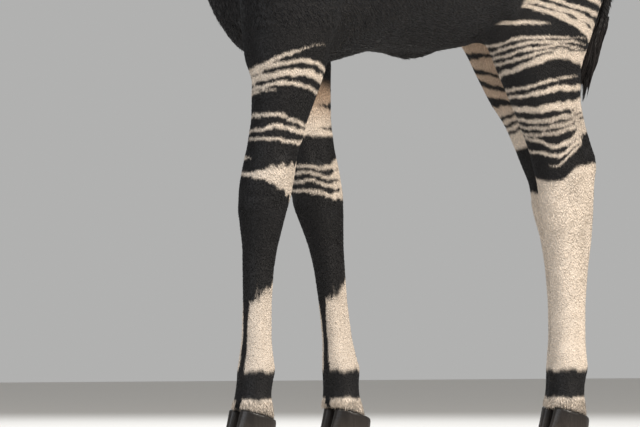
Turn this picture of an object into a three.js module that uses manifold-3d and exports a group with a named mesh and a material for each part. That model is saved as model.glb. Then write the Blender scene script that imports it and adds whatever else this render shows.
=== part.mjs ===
// A life-size standing okapi, a male with short horns, one near foreleg a step forward.
// Millimetres, +X towards the head, +Y to the animal's left, +Z up. The floor is z = 0.
import * as THREE from "three";
import { mergeVertices } from "three/addons/utils/BufferGeometryUtils.js";
import Module from "manifold-3d";

const wasm = await Module();
wasm.setup();

// Driving dimensions of the animal.
const jointGap = 0.3; // air between two nodes that touch
const foreCutZ = 772; // forelegs leave the brisket here
const hindCutZ = 798; // hind legs leave the groin here
const kneeCutZ = 442; // forearm and knee above, cannon below
const hockCutZ = 492; // gaskin and hock above, cannon below
const coronetZ = 64; // top of the hooves, at the middle of the foot
const coronetTilt = 0.28; // how much higher the coronet is in front, for each millimetre forward
const neckPitch = THREE.MathUtils.degToRad(43);
const neckCut = new THREE.Vector3(470, 0, 1322);
const headPitch = THREE.MathUtils.degToRad(-31);
const headBase = new THREE.Vector3(806, 0, 1703); // middle of the back of the skull
const eyePlace = [166, 40, 60]; // along, up and to the side in the head's own directions
const eyeRadius = 24;
const lidThickness = 4;
const lidLength = 43;
const lidOpening = 27;
const earPlace = [26, 56, 60];
const earLength = 252;
const earThickness = 7;
const hornPlace = [102, 78, 46];
const hornHeight = 122;
const clawSpread = 23.6; // each claw's middle from the foot's middle
const tuftTop = 872;
const tuftLocks = 18;
const tuftSeed = 7;

const X = new THREE.Vector3(1, 0, 0);
const Y = new THREE.Vector3(0, 1, 0);
const Z = new THREE.Vector3(0, 0, 1);
const neckAlong = new THREE.Vector3(Math.cos(neckPitch), 0, Math.sin(neckPitch));
const neckUp = new THREE.Vector3(-Math.sin(neckPitch), 0, Math.cos(neckPitch));
const headAlong = new THREE.Vector3(Math.cos(headPitch), 0, Math.sin(headPitch));
const headUp = new THREE.Vector3(-Math.sin(headPitch), 0, Math.cos(headPitch));

// Colour, roughness and metalness of each finish.
const finishes = {
  coat: { color: 0x2a1c17, roughness: 0.62, metalness: 0 },
  stripedCoat: { color: 0x4a3f38, roughness: 0.66, metalness: 0 },
  face: { color: 0x6f5f52, roughness: 0.66, metalness: 0 },
  tuftHair: { color: 0x14100f, roughness: 0.5, metalness: 0 },
  horn: { color: 0x3a2a22, roughness: 0.5, metalness: 0 },
  eye: { color: 0x0c0807, roughness: 0.08, metalness: 0 },
  hoof: { color: 0x1e1a18, roughness: 0.4, metalness: 0 },
};

// A three.js geometry as a solid with its faces pointing out.
function solid(geometry) {
  const bare = geometry.clone();
  bare.deleteAttribute("normal");
  bare.deleteAttribute("uv");
  const merged = mergeVertices(bare, 1e-3);
  const vertProperties = new Float32Array(merged.attributes.position.array);
  const build = (triVerts) => new wasm.Manifold(new wasm.Mesh({ numProp: 3, vertProperties, triVerts }));
  const faces = new Uint32Array(merged.index.array);
  const made = build(faces);
  return made.volume() > 0 ? made : build(faces.reverse());
}

function surface(points, faces) {
  const geometry = new THREE.BufferGeometry();
  geometry.setAttribute("position", new THREE.Float32BufferAttribute(points.flatMap((p) => p.toArray()), 3));
  geometry.setIndex(faces);
  return solid(geometry);
}

function placed(geometry, place, turn = new THREE.Quaternion(), scale = new THREE.Vector3(1, 1, 1)) {
  return solid(geometry.clone().applyMatrix4(new THREE.Matrix4().compose(place, turn, scale)));
}

function joined(pieces) {
  return pieces.reduce((all, piece) => all.add(piece));
}

// The largest closed surface, so that a sealed hollow is filled and a loose scrap dropped.
function largest(shape) {
  return shape.decompose().reduce((a, b) => (a.volume() > b.volume() ? a : b));
}

// A closed tube through sections {at, up, down, side}: the three radii lie on the axes up and side,
// and square is the roundness exponent, 2 for an ellipse.
function loft(sections, { up = Z, side = Y, sides = 18, perSpan = 1, square = 2 }) {
  const middle = new THREE.CatmullRomCurve3(sections.map((s) => s.at), false, "centripetal");
  const spread = sections.map((s) => new THREE.Vector3(s.up, s.down, s.side));
  const radii = new THREE.CatmullRomCurve3(spread, false, "catmullrom", 0.4);
  const rings = (sections.length - 1) * perSpan + 1;
  const rounded = (v) => Math.sign(v) * Math.abs(v) ** (2 / square);
  const points = [];
  for (let i = 0; i < rings; i++) {
    const c = middle.getPoint(i / (rings - 1));
    const r = radii.getPoint(i / (rings - 1));
    for (let j = 0; j < sides; j++) {
      const a = (2 * Math.PI * (j + 0.5)) / sides;
      const rise = rounded(Math.cos(a));
      const p = c.clone().addScaledVector(up, rise * (rise > 0 ? r.x : r.y));
      points.push(p.addScaledVector(side, rounded(Math.sin(a)) * r.z));
    }
  }
  const [start, end] = [points.length, points.length + 1];
  points.push(middle.getPoint(0), middle.getPoint(1));
  const faces = [];
  for (let j = 0; j < sides; j++) {
    const next = (j + 1) % sides;
    const last = (rings - 1) * sides;
    faces.push(start, next, j, end, last + j, last + next);
    for (let i = 0; i < rings - 1; i++) {
      const [a, b] = [i * sides + j, i * sides + next];
      faces.push(a, b, b + sides, a, b + sides, a + sides);
    }
  }
  return surface(points, faces);
}

// The half space that a plane's normal points into, as a large box that starts past the plane.
function beyond(point, normal, past = jointGap / 2) {
  const size = 3600;
  const along = normal.clone().normalize();
  const turn = new THREE.Quaternion().setFromUnitVectors(Z, along);
  return placed(new THREE.BoxGeometry(size, size, size), point.clone().addScaledVector(along, size / 2 + past), turn);
}

// The two sides of a shape parted at a plane, the one that the normal points to first.
function parted(shape, point, normal) {
  return [shape.intersect(beyond(point, normal)), shape.intersect(beyond(point, normal.clone().negate()))];
}

// A value from rows of [height, value, ...] at a height, along a straight line between rows.
function valueAt(rows, z) {
  const k = rows.findIndex((row) => row[0] <= z);
  if (k <= 0) return rows[k < 0 ? rows.length - 1 : 0][1];
  return THREE.MathUtils.mapLinear(z, rows[k - 1][0], rows[k][0], rows[k - 1][1], rows[k][1]);
}

function seededDraw(seed) {
  let state = seed;
  return () => {
    state = (state * 1103515245 + 12345) % 2147483648;
    return state / 2147483648;
  };
}

// Trunk sections from the rump to the breast: along, height, then the radii up, down and sideways.
function trunk(shift = 0) {
  const rows = [
    [-486, 1135, 40, 45, 30], [-470, 1132, 100, 110, 85], [-430, 1122, 170, 185, 146],
    [-345, 1105, 240, 208, 198], [-230, 1090, 275, 188, 230], [-160, 1080, 296, 200, 248],
    [-90, 1070, 315, 228, 262],
    [50, 1060, 345, 238, 276], [190, 1060, 388, 234, 262], [290, 1070, 420, 268, 232],
    [380, 1080, 398, 290, 200], [465, 1090, 320, 270, 166], [535, 1088, 205, 200, 116],
    [575, 1080, 100, 100, 60], [586, 1078, 36, 36, 24],
  ];
  const sections = rows.map(([x, z, up, down, side]) => (
    { at: new THREE.Vector3(x + shift, 0, z), up, down, side }));
  return loft(sections, { sides: 30, perSpan: 2, square: 2.12 });
}

function sheath() {
  const shape = new THREE.SphereGeometry(1, 14, 8);
  return placed(shape, new THREE.Vector3(62, 0, 833), undefined, new THREE.Vector3(74, 26, 24));
}

// Neck sections from inside the chest to the skull: along, height, up, down and side.
function neck() {
  const rows = [
    [350, 1215, 235, 245, 150], [435, 1308, 190, 226, 130], [520, 1396, 154, 184, 110],
    [610, 1478, 130, 152, 97], [710, 1562, 112, 128, 88], [800, 1640, 98, 112, 80],
    [878, 1700, 66, 84, 58],
  ];
  const sections = rows.map(([x, z, up, down, side]) => ({ at: new THREE.Vector3(x, 0, z), up, down, side }));
  return loft(sections, { up: neckUp, sides: 24, perSpan: 2 });
}

// Leg sections from shoulder or hip to inside the hooves: height, front, back and side radius.
const foreRows = [
  [1250, 92, 102, 52], [1130, 122, 130, 82], [1010, 128, 132, 97], [920, 121, 116, 87],
  [850, 112, 98, 77], [806, 101, 90, 70], [765, 77, 81, 61], [680, 60, 63, 50], [620, 57, 58, 50], [575, 60, 59, 52],
  [530, 61, 57, 51], [490, 57, 52, 47], [450, 47, 46, 41], [415, 39, 41, 35], [370, 34, 38, 31],
  [300, 31, 36, 28], [220, 31, 39, 29], [165, 36, 46, 36], [135, 37, 43, 38], [105, 40, 37, 40],
  [75, 49, 42, 44], [30, 60, 50, 44],
];
const hindRows = [
  [1296, 62, 58, 28], [1255, 124, 108, 62], [1190, 164, 142, 92], [1100, 188, 160, 108], [1000, 178, 154, 106],
  [930, 152, 148, 94], [850, 131, 130, 80], [794, 104, 104, 70], [720, 80, 86, 62],
  [671, 73, 82, 58], [617, 70, 84, 54], [583, 69, 85, 53], [551, 67, 70, 50], [475, 61, 62, 46],
  [430, 54, 57, 41], [370, 43, 50, 36], [300, 36, 45, 33], [220, 35, 46, 33], [165, 39, 50, 38],
  [135, 40, 45, 39], [105, 41, 39, 41], [75, 49, 42, 44], [30, 60, 50, 44],
];
const foreSide = [[1250, 100], [1130, 118], [1010, 124], [765, 120], [575, 105], [480, 98], [370, 90], [0, 85]];
const hindSide = [
  [1296, 70], [1255, 92], [1190, 112], [1000, 122], [794, 115], [671, 105], [551, 98], [430, 92], [0, 85],
];

// Where each leg's middle line runs, as rows of height and place along the body.
const legs = {
  foreleg_left: {
    sign: 1, rows: foreRows, side: foreSide, cut: foreCutZ, bend: kneeCutZ,
    along: [
      [1250, 372], [1130, 425], [1010, 462], [850, 474], [765, 483], [575, 516], [480, 527],
      [370, 534], [0, 545],
    ],
  },
  foreleg_right: {
    sign: -1, rows: foreRows, side: foreSide, cut: foreCutZ, bend: kneeCutZ,
    along: [[1250, 330], [1130, 345], [1010, 335], [850, 285], [765, 268], [508, 223], [425, 211], [0, 160]],
  },
  hindleg_left: {
    sign: 1, rows: hindRows, side: hindSide, cut: hindCutZ, bend: hockCutZ,
    along: [
      [1296, -305], [1190, -292], [1000, -238], [930, -202], [850, -195], [794, -198], [720, -220],
      [617, -265], [551, -285], [430, -297], [0, -296],
    ],
  },
  hindleg_right: {
    sign: -1, rows: hindRows, side: hindSide, cut: hindCutZ, bend: hockCutZ,
    along: [
      [1296, -308], [1190, -312], [1000, -318], [930, -314], [850, -318], [794, -326], [720, -350],
      [617, -392], [551, -419], [430, -432], [0, -430],
    ],
  },
};

function legShape({ sign, rows, side, along }) {
  const sections = rows.map(([z, up, down, half]) => (
    { at: new THREE.Vector3(valueAt(along, z), sign * valueAt(side, z), z), up, down, side: half }));
  return loft(sections, { up: X, sides: 18, square: 2.08 });
}

function footPlace({ sign, side, along }) {
  return new THREE.Vector3(valueAt(along, 0), sign * valueAt(side, 0), 0);
}

function coronetPlane(foot) {
  const point = foot.clone().setZ(coronetZ);
  return [point, new THREE.Vector3(-coronetTilt, 0, 1)];
}

// One claw of a cloven hoof, with a flat sole on the floor and its toe turned a little inward.
function claw(foot, outward) {
  const rows = [[0, 70, 46, 21.5], [16, 66, 47, 22], [48, 54, 44, 22], [80, 44, 36, 21], [104, 38, 30, 20]];
  const sections = rows.map(([z, up, down, side]) => (
    { at: foot.clone().add(new THREE.Vector3(0, outward * clawSpread, z)), up, down, side }));
  const toe = new THREE.Vector3(1, -0.06 * outward, 0).normalize();
  return loft(sections, { up: toe, sides: 14, square: 2.35 });
}

// A point in the head's own directions: along from the back of the skull, up and to the left.
function headPoint(along, up, left) {
  return headBase.clone().addScaledVector(headAlong, along).addScaledVector(headUp, up).addScaledVector(Y, left);
}

// Head sections from the skull to the lips: along, centre, up, down and side, each less a margin.
function headShape(margin = 0) {
  const rows = [
    [-44, -8, 50, 60, 46], [-16, -8, 78, 94, 64], [30, -10, 95, 108, 75], [82, -14, 109, 112, 80],
    [130, -16, 113, 112, 82], [174, -16, 103, 104, 78], [222, -14, 88, 90, 66], [276, -10, 73, 79, 56],
    [334, -8, 62, 68, 49], [388, -8, 54, 59, 46], [432, -8, 50, 54, 47], [468, -9, 45, 50, 46],
    [494, -11, 36, 41, 39], [510, -13, 18, 22, 22],
  ];
  const sections = rows.map(([along, centre, up, down, side]) => (
    { at: headPoint(along, centre, 0), up: up - margin, down: down - margin, side: side - margin }));
  return loft(sections, { up: headUp, sides: 24, square: 2.15 });
}

// The line between the lips, cut a little way in all round the muzzle.
function mouthLine() {
  const outline = new THREE.Shape();
  outline.moveTo(530, -20);
  outline.quadraticCurveTo(455, -30, 388, -36);
  outline.quadraticCurveTo(455, -35, 530, -26);
  const slab = new THREE.ExtrudeGeometry(outline, { depth: 140, bevelEnabled: false, curveSegments: 5 });
  const basis = new THREE.Matrix4().makeBasis(headAlong, headUp, Y.clone().negate());
  const turn = new THREE.Quaternion().setFromRotationMatrix(basis);
  return placed(slab, headPoint(0, 0, 70), turn).subtract(headShape(7));
}

function nostril(sign) {
  const turn = new THREE.Quaternion().setFromAxisAngle(Y, -headPitch + 0.5);
  const opening = new THREE.SphereGeometry(1, 12, 8);
  return placed(opening, headPoint(478, 12, sign * 37), turn, new THREE.Vector3(16, 9, 8));
}

function eyePoint(sign) {
  return headPoint(eyePlace[0], eyePlace[1], sign * eyePlace[2]);
}

// The opening between the lids, an almond that looks outward, forward and slightly up.
function lidGap(sign) {
  const half = lidLength / 2;
  const almond = new THREE.Shape();
  almond.moveTo(-half, 3);
  almond.quadraticCurveTo(-4, lidOpening, half, -4);
  almond.quadraticCurveTo(-2, -lidOpening * 0.78, -half, 3);
  const prism = new THREE.ExtrudeGeometry(almond, { depth: 60, bevelEnabled: false, curveSegments: 6 });
  const out = new THREE.Vector3(0.26, sign, 0.1).normalize();
  const forward = headAlong.clone().addScaledVector(out, -headAlong.dot(out)).normalize();
  const rise = out.clone().cross(forward).multiplyScalar(sign);
  const basis = new THREE.Matrix4().makeBasis(forward, rise.multiplyScalar(sign * sign), out);
  if (basis.determinant() < 0) basis.makeBasis(forward, rise.negate(), out);
  return placed(prism, eyePoint(sign), new THREE.Quaternion().setFromRotationMatrix(basis));
}

function earFrame(sign) {
  const along = new THREE.Vector3(-0.3, sign * 0.66, 0.7).normalize();
  const facing = new THREE.Vector3(0.86, sign * 0.5, 0);
  facing.addScaledVector(along, -facing.dot(along)).normalize();
  const across = along.clone().cross(facing);
  return { along, facing, across };
}

// A cupped leaf: nearly a closed tube at the root, an open trough in the middle and a blunt tip.
function earShell(sign) {
  const { along, facing, across } = earFrame(sign);
  const rows = [
    [-0.12, 24, 155], [0, 28, 150], [0.1, 35, 128], [0.22, 48, 100], [0.36, 60, 82], [0.5, 63, 74],
    [0.64, 58, 68], [0.77, 46, 62], [0.88, 30, 56], [0.96, 15, 50], [1, 6, 46],
  ];
  const columns = 10;
  const base = headPoint(earPlace[0], earPlace[1], sign * earPlace[2]);
  const layers = [earThickness / 2, -earThickness / 2].map((offset) => rows.flatMap(([t, half, opening]) => {
    const reach = THREE.MathUtils.degToRad(opening);
    const radius = half / Math.sin(Math.min(reach, Math.PI / 2));
    const centre = base.clone().addScaledVector(along, t * earLength);
    centre.addScaledVector(facing, radius * 0.5 - 12 + 34 * t * t);
    const thin = offset * (1 - 0.5 * Math.max(t, 0));
    return Array.from({ length: columns + 1 }, (_, j) => {
      const a = reach * ((2 * j) / columns - 1);
      const p = centre.clone().addScaledVector(across, (radius + thin) * Math.sin(a));
      return p.addScaledVector(facing, -(radius + thin) * Math.cos(a));
    });
  }));
  const points = layers.flat();
  const count = rows.length * (columns + 1);
  const faces = [];
  const quad = (a, b, c, d) => faces.push(a, b, c, a, c, d);
  for (let i = 0; i < rows.length - 1; i++) {
    const [low, high] = [i * (columns + 1), (i + 1) * (columns + 1)];
    for (let j = 0; j < columns; j++) {
      quad(low + j, low + j + 1, high + j + 1, high + j);
      quad(count + high + j, count + high + j + 1, count + low + j + 1, count + low + j);
    }
    quad(low, high, count + high, count + low);
    quad(low + columns, count + low + columns, count + high + columns, high + columns);
  }
  const top = count - columns - 1;
  for (let j = 0; j < columns; j++) {
    quad(j, count + j, count + j + 1, j + 1);
    quad(top + j, top + j + 1, count + top + j + 1, count + top + j);
  }
  return surface(points, faces);
}

// The ear's fleshy root, which reaches into the skull.
function earRoot(sign) {
  const { along, facing } = earFrame(sign);
  const base = headPoint(earPlace[0], earPlace[1], sign * earPlace[2]);
  const rows = [[-46, 18], [-10, 30], [14, 30], [34, 22], [44, 10]];
  const across = along.clone().cross(facing);
  const sections = rows.map(([d, r]) => (
    { at: base.clone().addScaledVector(along, d).addScaledVector(facing, -2), up: r, down: r, side: r }));
  return loft(sections, { up: facing, side: across, sides: 14 });
}

function ear(sign) {
  const { along } = earFrame(sign);
  const cut = headPoint(earPlace[0], earPlace[1], sign * earPlace[2]).addScaledVector(along, 10);
  return parted(earShell(sign).add(earRoot(sign)), cut, along);
}

// A short skin-covered horn that leans back, with a rounded bare tip.
function horn(sign) {
  const along = new THREE.Vector3(0.02, sign * 0.13, 0.99).normalize();
  const across = along.clone().cross(Y).normalize();
  const side = across.clone().cross(along);
  const base = headPoint(hornPlace[0], hornPlace[1], sign * hornPlace[2]);
  const rows = [
    [-40, 26], [0, 25], [22, 20], [52, 16.5], [84, 14], [hornHeight - 14, 12.5], [hornHeight - 4, 9], [hornHeight, 4],
  ];
  const sections = rows.map(([d, r]) => (
    { at: base.clone().addScaledVector(along, d), up: r, down: r, side: r * 0.92 }));
  const whole = loft(sections, { up: across, side, sides: 14 });
  return parted(whole, base.clone().addScaledVector(along, 20), along);
}

// The tail's middle line, from inside the rump to the end of the tuft.
const tailLine = new THREE.CatmullRomCurve3([
  new THREE.Vector3(-404, 0, 1262), new THREE.Vector3(-482, -2, 1232), new THREE.Vector3(-519, -8, 1130),
  new THREE.Vector3(-512, -24, 1010), new THREE.Vector3(-492, -42, 880), new THREE.Vector3(-478, -56, 770),
]);

function tailShape() {
  const radii = [44, 36, 27, 22, 18.5, 17, 16, 15, 14.5, 13, 9];
  const sections = radii.map((r, i) => {
    const at = tailLine.getPoint(i / (radii.length - 1));
    return { at, up: r, down: r, side: r * 1.1 };
  });
  return loft(sections, { up: X, sides: 14 });
}

// A flat tapered lock from a root along a curved way, four-sided in section.
function lock(root, way, width, thickness) {
  const tip = root.clone().add(way);
  const bow = new THREE.Vector3(way.x, way.y, 0).multiplyScalar(0.45);
  const curve = new THREE.QuadraticBezierCurve3(root, root.clone().addScaledVector(way, 0.5).add(bow), tip);
  const out = new THREE.Vector3(way.x, way.y, 0).normalize();
  const across = out.clone().cross(Z);
  const spread = [0.7, 1, 0.95, 0.66, 0.12];
  const sections = spread.map((k, i) => {
    const at = curve.getPoint(i / (spread.length - 1));
    return { at, up: (thickness * (0.4 + 0.6 * k)) / 2, down: (thickness * (0.4 + 0.6 * k)) / 2, side: (width * k) / 2 };
  });
  return loft(sections, { up: out, side: across, sides: 6 });
}

// The tuft: locks in three tiers round the end of the tail, hanging and spreading a little.
function tuft(core) {
  const draw = seededDraw(tuftSeed);
  const locks = [];
  for (let i = 0; i < tuftLocks; i++) {
    const tier = i % 3;
    const turn = (2 * Math.PI * (i + 0.35 * draw())) / tuftLocks * 5;
    const root = tailLine.getPoint(0.79 + 0.055 * tier + 0.02 * draw());
    const out = new THREE.Vector3(Math.cos(turn), Math.sin(turn), 0);
    const fall = root.z - (735 - 12 * tier + 26 * draw());
    const way = out.clone().multiplyScalar(15 + 9 * draw()).addScaledVector(Z, -fall);
    way.add(new THREE.Vector3(10, -12, 0));
    locks.push(lock(root.addScaledVector(out, 5), way, 25, 10));
  }
  return joined([core, ...locks]).intersect(beyond(new THREE.Vector3(0, 0, tuftTop), Z.clone().negate()));
}

// Every node's solid by name, with its finish.
function buildNodes() {
  const nodes = {};
  const keep = (name, shape, finish) => {
    nodes[name] = { shape: largest(shape), finish };
  };

  const shapes = Object.fromEntries(Object.entries(legs).map(([name, leg]) => [name, legShape(leg)]));
  const lower = {};
  const upper = [];
  for (const [name, leg] of Object.entries(legs)) {
    const [above, below] = parted(shapes[name], new THREE.Vector3(0, 0, leg.cut), Z);
    upper.push(above);
    lower[name] = below;
  }

  const horns = { left: horn(1), right: horn(-1) };
  const ears = { left: ear(1), right: ear(-1) };
  const [tail, tailRoot] = parted(tailShape(), tailLine.getPoint(0.17), tailLine.getTangent(0.17));
  const [tuftCore, dock] = parted(tail, new THREE.Vector3(0, 0, tuftTop), Z.clone().negate());

  const body = joined([trunk(), sheath(), neck(), ...upper, tailRoot]);
  const [neckPart, torso] = parted(body, neckCut, neckAlong);
  const skullCut = headPoint(8, 0, 0);
  const skullNormal = new THREE.Vector3(1, 0, 0.1).normalize();
  const [, neckOnly] = parted(neckPart, skullCut, skullNormal);
  keep("torso", torso, "coat");
  keep("neck", neckOnly, "coat");

  let head = headShape().add(neck().intersect(beyond(neckCut, neckAlong)));
  [head] = parted(head, skullCut, skullNormal);
  const sides = [["left", 1], ["right", -1]];
  for (const [side, sign] of sides) {
    const ball = new THREE.SphereGeometry(eyeRadius + lidThickness, 16, 10);
    head = joined([head, horns[side][1], ears[side][1], placed(ball, eyePoint(sign))]);
  }
  for (const [side, sign] of sides) {
    const socket = placed(new THREE.SphereGeometry(eyeRadius + jointGap, 14, 8), eyePoint(sign));
    head = head.subtract(socket).subtract(lidGap(sign)).subtract(nostril(sign));
    keep(`eye_${side}`, placed(new THREE.SphereGeometry(eyeRadius - jointGap, 14, 8), eyePoint(sign)), "eye");
    keep(`horn_${side}`, horns[side][0], "horn");
    keep(`ear_${side}`, ears[side][0], "coat");
  }
  keep("head", head.subtract(mouthLine()), "face");

  for (const [name, leg] of Object.entries(legs)) {
    const foot = footPlace(leg);
    const [point, normal] = coronetPlane(foot);
    const [above, below] = parted(lower[name], new THREE.Vector3(0, 0, leg.bend), Z);
    keep(`${name}_upper`, above, "stripedCoat");
    keep(`${name}_lower`, parted(below, point, normal)[0], "stripedCoat");
    for (const [place, outward] of [["outer", leg.sign], ["inner", -leg.sign]])
      keep(`${name}_hoof_${place}`, parted(claw(foot, outward), point, normal)[1], "hoof");
  }

  keep("tail", dock.subtract(trunk(-jointGap)), "coat");
  keep("tail_tuft", tuft(tuftCore), "tuftHair");
  return nodes;
}

// One mesh for each node, with its place at the middle of its own box.
function meshOf(name, { shape, finish }) {
  const { vertProperties, triVerts, numProp } = shape.getMesh();
  const geometry = new THREE.BufferGeometry();
  const positions = [];
  for (let i = 0; i < vertProperties.length; i += numProp) positions.push(...vertProperties.slice(i, i + 3));
  geometry.setAttribute("position", new THREE.Float32BufferAttribute(positions, 3));
  geometry.setIndex(Array.from(triVerts));
  geometry.computeBoundingBox();
  const centre = geometry.boundingBox.getCenter(new THREE.Vector3());
  geometry.translate(-centre.x, -centre.y, -centre.z);
  geometry.computeVertexNormals();
  const mesh = new THREE.Mesh(geometry, new THREE.MeshStandardMaterial(finishes[finish]));
  mesh.name = name;
  mesh.position.copy(centre);
  return mesh;
}

const okapi = new THREE.Group();
for (const [name, node] of Object.entries(buildNodes())) okapi.add(meshOf(name, node));

// The origin is on the floor under the middle of the whole animal.
const box = new THREE.Box3().setFromObject(okapi);
okapi.position.set(-(box.min.x + box.max.x) / 2, -(box.min.y + box.max.y) / 2, 0);

export default okapi;
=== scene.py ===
import math

import bmesh
import bpy
import numpy as np
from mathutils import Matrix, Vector


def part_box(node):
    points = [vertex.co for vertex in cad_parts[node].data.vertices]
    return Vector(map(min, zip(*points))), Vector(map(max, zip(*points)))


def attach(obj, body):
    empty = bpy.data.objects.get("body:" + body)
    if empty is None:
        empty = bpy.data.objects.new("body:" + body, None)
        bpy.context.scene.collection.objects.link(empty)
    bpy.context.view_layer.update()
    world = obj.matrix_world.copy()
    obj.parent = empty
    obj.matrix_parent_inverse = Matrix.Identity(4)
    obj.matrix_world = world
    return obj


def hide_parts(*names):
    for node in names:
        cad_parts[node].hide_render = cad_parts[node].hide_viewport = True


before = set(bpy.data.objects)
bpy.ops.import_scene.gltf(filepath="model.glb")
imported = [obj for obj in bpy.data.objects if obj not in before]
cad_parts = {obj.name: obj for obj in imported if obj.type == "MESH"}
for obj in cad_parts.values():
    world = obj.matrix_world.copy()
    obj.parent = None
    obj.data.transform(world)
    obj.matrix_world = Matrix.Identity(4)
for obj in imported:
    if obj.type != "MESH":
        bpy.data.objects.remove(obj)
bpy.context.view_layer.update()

draw = np.random.default_rng(41)


def boxOf(node):
    low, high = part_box(node)
    return np.array(low), np.array(high)


# How far along each foot stands.
def footOf(leg):
    low, high = boxOf(leg + "_hoof_outer")
    return (low[0] + high[0]) / 2 - 0.012


# Where the animal's own measures start: its left forefoot stands 545 mm ahead of them.
originX = footOf("foreleg_left") - 0.545


def along(x, y, z):
    return np.array([x + originX, y, z])


# By height: how far each leg's middle lies ahead of its foot and to the side, and how far its
# surface reaches to the front, the back and the side.
legLines = {
    "foreleg_left": [(1.25, -0.173), (1.13, -0.12), (1.01, -0.083), (0.85, -0.071), (0.765, -0.062),
                     (0.575, -0.029), (0.48, -0.018), (0.37, -0.011), (0, 0)],
    "foreleg_right": [(1.25, 0.17), (1.13, 0.185), (1.01, 0.175), (0.85, 0.125), (0.765, 0.108),
                      (0.508, 0.063), (0.425, 0.051), (0, 0)],
    "hindleg_left": [(1.296, -0.009), (1.19, 0.004), (1.0, 0.058), (0.93, 0.094), (0.85, 0.101),
                     (0.794, 0.098), (0.72, 0.076), (0.617, 0.031), (0.551, 0.011), (0.43, -0.001), (0, 0)],
    "hindleg_right": [(1.296, 0.122), (1.19, 0.118), (1.0, 0.112), (0.93, 0.116), (0.85, 0.112),
                      (0.794, 0.104), (0.72, 0.08), (0.617, 0.038), (0.551, 0.011), (0.43, -0.002), (0, 0)],
}
legSide = {
    "fore": [(1.25, 0.1), (1.13, 0.118), (1.01, 0.124), (0.765, 0.12), (0.575, 0.105), (0.48, 0.098),
             (0.37, 0.09), (0, 0.085)],
    "hind": [(1.296, 0.07), (1.19, 0.112), (1.0, 0.122), (0.794, 0.115), (0.671, 0.105), (0.551, 0.098),
             (0.43, 0.092), (0, 0.085)],
}
legReach = {
    "fore": [(1.25, 0.092, 0.102, 0.052), (1.01, 0.124, 0.132, 0.097), (0.85, 0.092, 0.097, 0.072),
             (0.765, 0.076, 0.081, 0.061), (0.68, 0.06, 0.063, 0.05), (0.575, 0.06, 0.059, 0.052),
             (0.53, 0.061, 0.057, 0.051), (0.45, 0.047, 0.046, 0.041), (0.37, 0.034, 0.038, 0.031),
             (0.22, 0.031, 0.039, 0.029), (0.135, 0.037, 0.043, 0.038), (0, 0.06, 0.05, 0.044)],
    "hind": [(1.255, 0.124, 0.108, 0.062), (1.1, 0.188, 0.16, 0.108), (1.0, 0.178, 0.154, 0.106),
             (0.93, 0.152, 0.148, 0.094), (0.85, 0.131, 0.13, 0.08), (0.794, 0.104, 0.104, 0.07),
             (0.72, 0.08, 0.086, 0.062), (0.617, 0.07, 0.084, 0.054), (0.551, 0.067, 0.07, 0.05),
             (0.475, 0.061, 0.062, 0.046), (0.37, 0.043, 0.05, 0.036), (0.22, 0.035, 0.046, 0.033),
             (0.135, 0.04, 0.045, 0.039), (0, 0.06, 0.05, 0.044)],
}
legCut = {"fore": 0.772, "hind": 0.798}
legSigns = {"foreleg_left": 1, "foreleg_right": -1, "hindleg_left": 1, "hindleg_right": -1}


def byHeight(rows, z, column=1):
    table = np.array(rows)[::-1]
    return np.interp(z, table[:, 0], table[:, column])


def kindOf(leg):
    return leg[:4]


# Points in a leg's own terms: the angle round it in degrees, 0 in front, 90 outside, -90 inside,
# and how far out they lie, 1 at its surface.
def roundLeg(leg, p):
    kind = kindOf(leg)
    z = p[:, 2]
    dx = p[:, 0] - footOf(leg) - byHeight(legLines[leg], z)
    dy = legSigns[leg] * p[:, 1] - byHeight(legSide[kind], z)
    reach = np.where(dx > 0, byHeight(legReach[kind], z, 1), byHeight(legReach[kind], z, 2))
    dx = dx / reach
    dy = dy / byHeight(legReach[kind], z, 3)
    return np.degrees(np.arctan2(dy, dx)), np.hypot(dx, dy)


def legPoint(leg, z, angle, out=1.0):
    kind = kindOf(leg)
    a = math.radians(angle)
    reach = byHeight(legReach[kind], z, 1 if math.cos(a) > 0 else 2)
    x = footOf(leg) + byHeight(legLines[leg], z) + out * reach * math.cos(a)
    y = byHeight(legSide[kind], z) + out * byHeight(legReach[kind], z, 3) * math.sin(a)
    return np.array([x, legSigns[leg] * y, z])


def alongAndUp(pitch):
    c, s = math.cos(pitch), math.sin(pitch)
    return np.array([c, 0, s]), np.array([-s, 0, c])


# The head's and the neck's own directions, as the solids have them.
headAlong, headUp = alongAndUp(math.radians(-31))
neckAlong, neckUp = alongAndUp(0.75)
headBase = along(0.806, 0, 1.703)
headFloor = 1.35  # nothing below this height is head


def headPoint(forward, up, side):
    return headBase + forward * headAlong + up * headUp + np.array([0, side, 0])


def inHead(p):
    q = p - headBase
    return q @ headAlong, q @ headUp, q[:, 1]


# A place given as forward, up and out from the middle, on one side of the head.
def headSpot(spot, side):
    return headPoint(spot[0], spot[1], side * spot[2])


def trunkSpot(spot, side):
    return along(spot[0], side * spot[1], spot[2])


def smoothStep(x, start, end):
    t = np.clip((x - start) / (end - start), 0, 1)
    return t * t * (3 - 2 * t)


def bell(x, width):
    return np.exp(-((x / width) ** 2))


def unit(v):
    return v / np.linalg.norm(v)


# Ways laid flat on the surface that has these normals.
def laidFlat(way, normal):
    way = way - normal * (way * normal).sum(axis=1)[:, None]
    return way / np.maximum(np.linalg.norm(way, axis=1), 1e-6)[:, None]


# Mesh helpers

def makeObject(name, mesh):
    made = bpy.data.objects.new(name, mesh)
    bpy.context.scene.collection.objects.link(made)
    return made


def joinedNodes(name, nodes):
    work = bmesh.new()
    for node in nodes:
        work.from_mesh(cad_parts[node].data)
    mesh = bpy.data.meshes.new(name)
    work.to_mesh(mesh)
    work.free()
    return makeObject(name, mesh)


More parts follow.
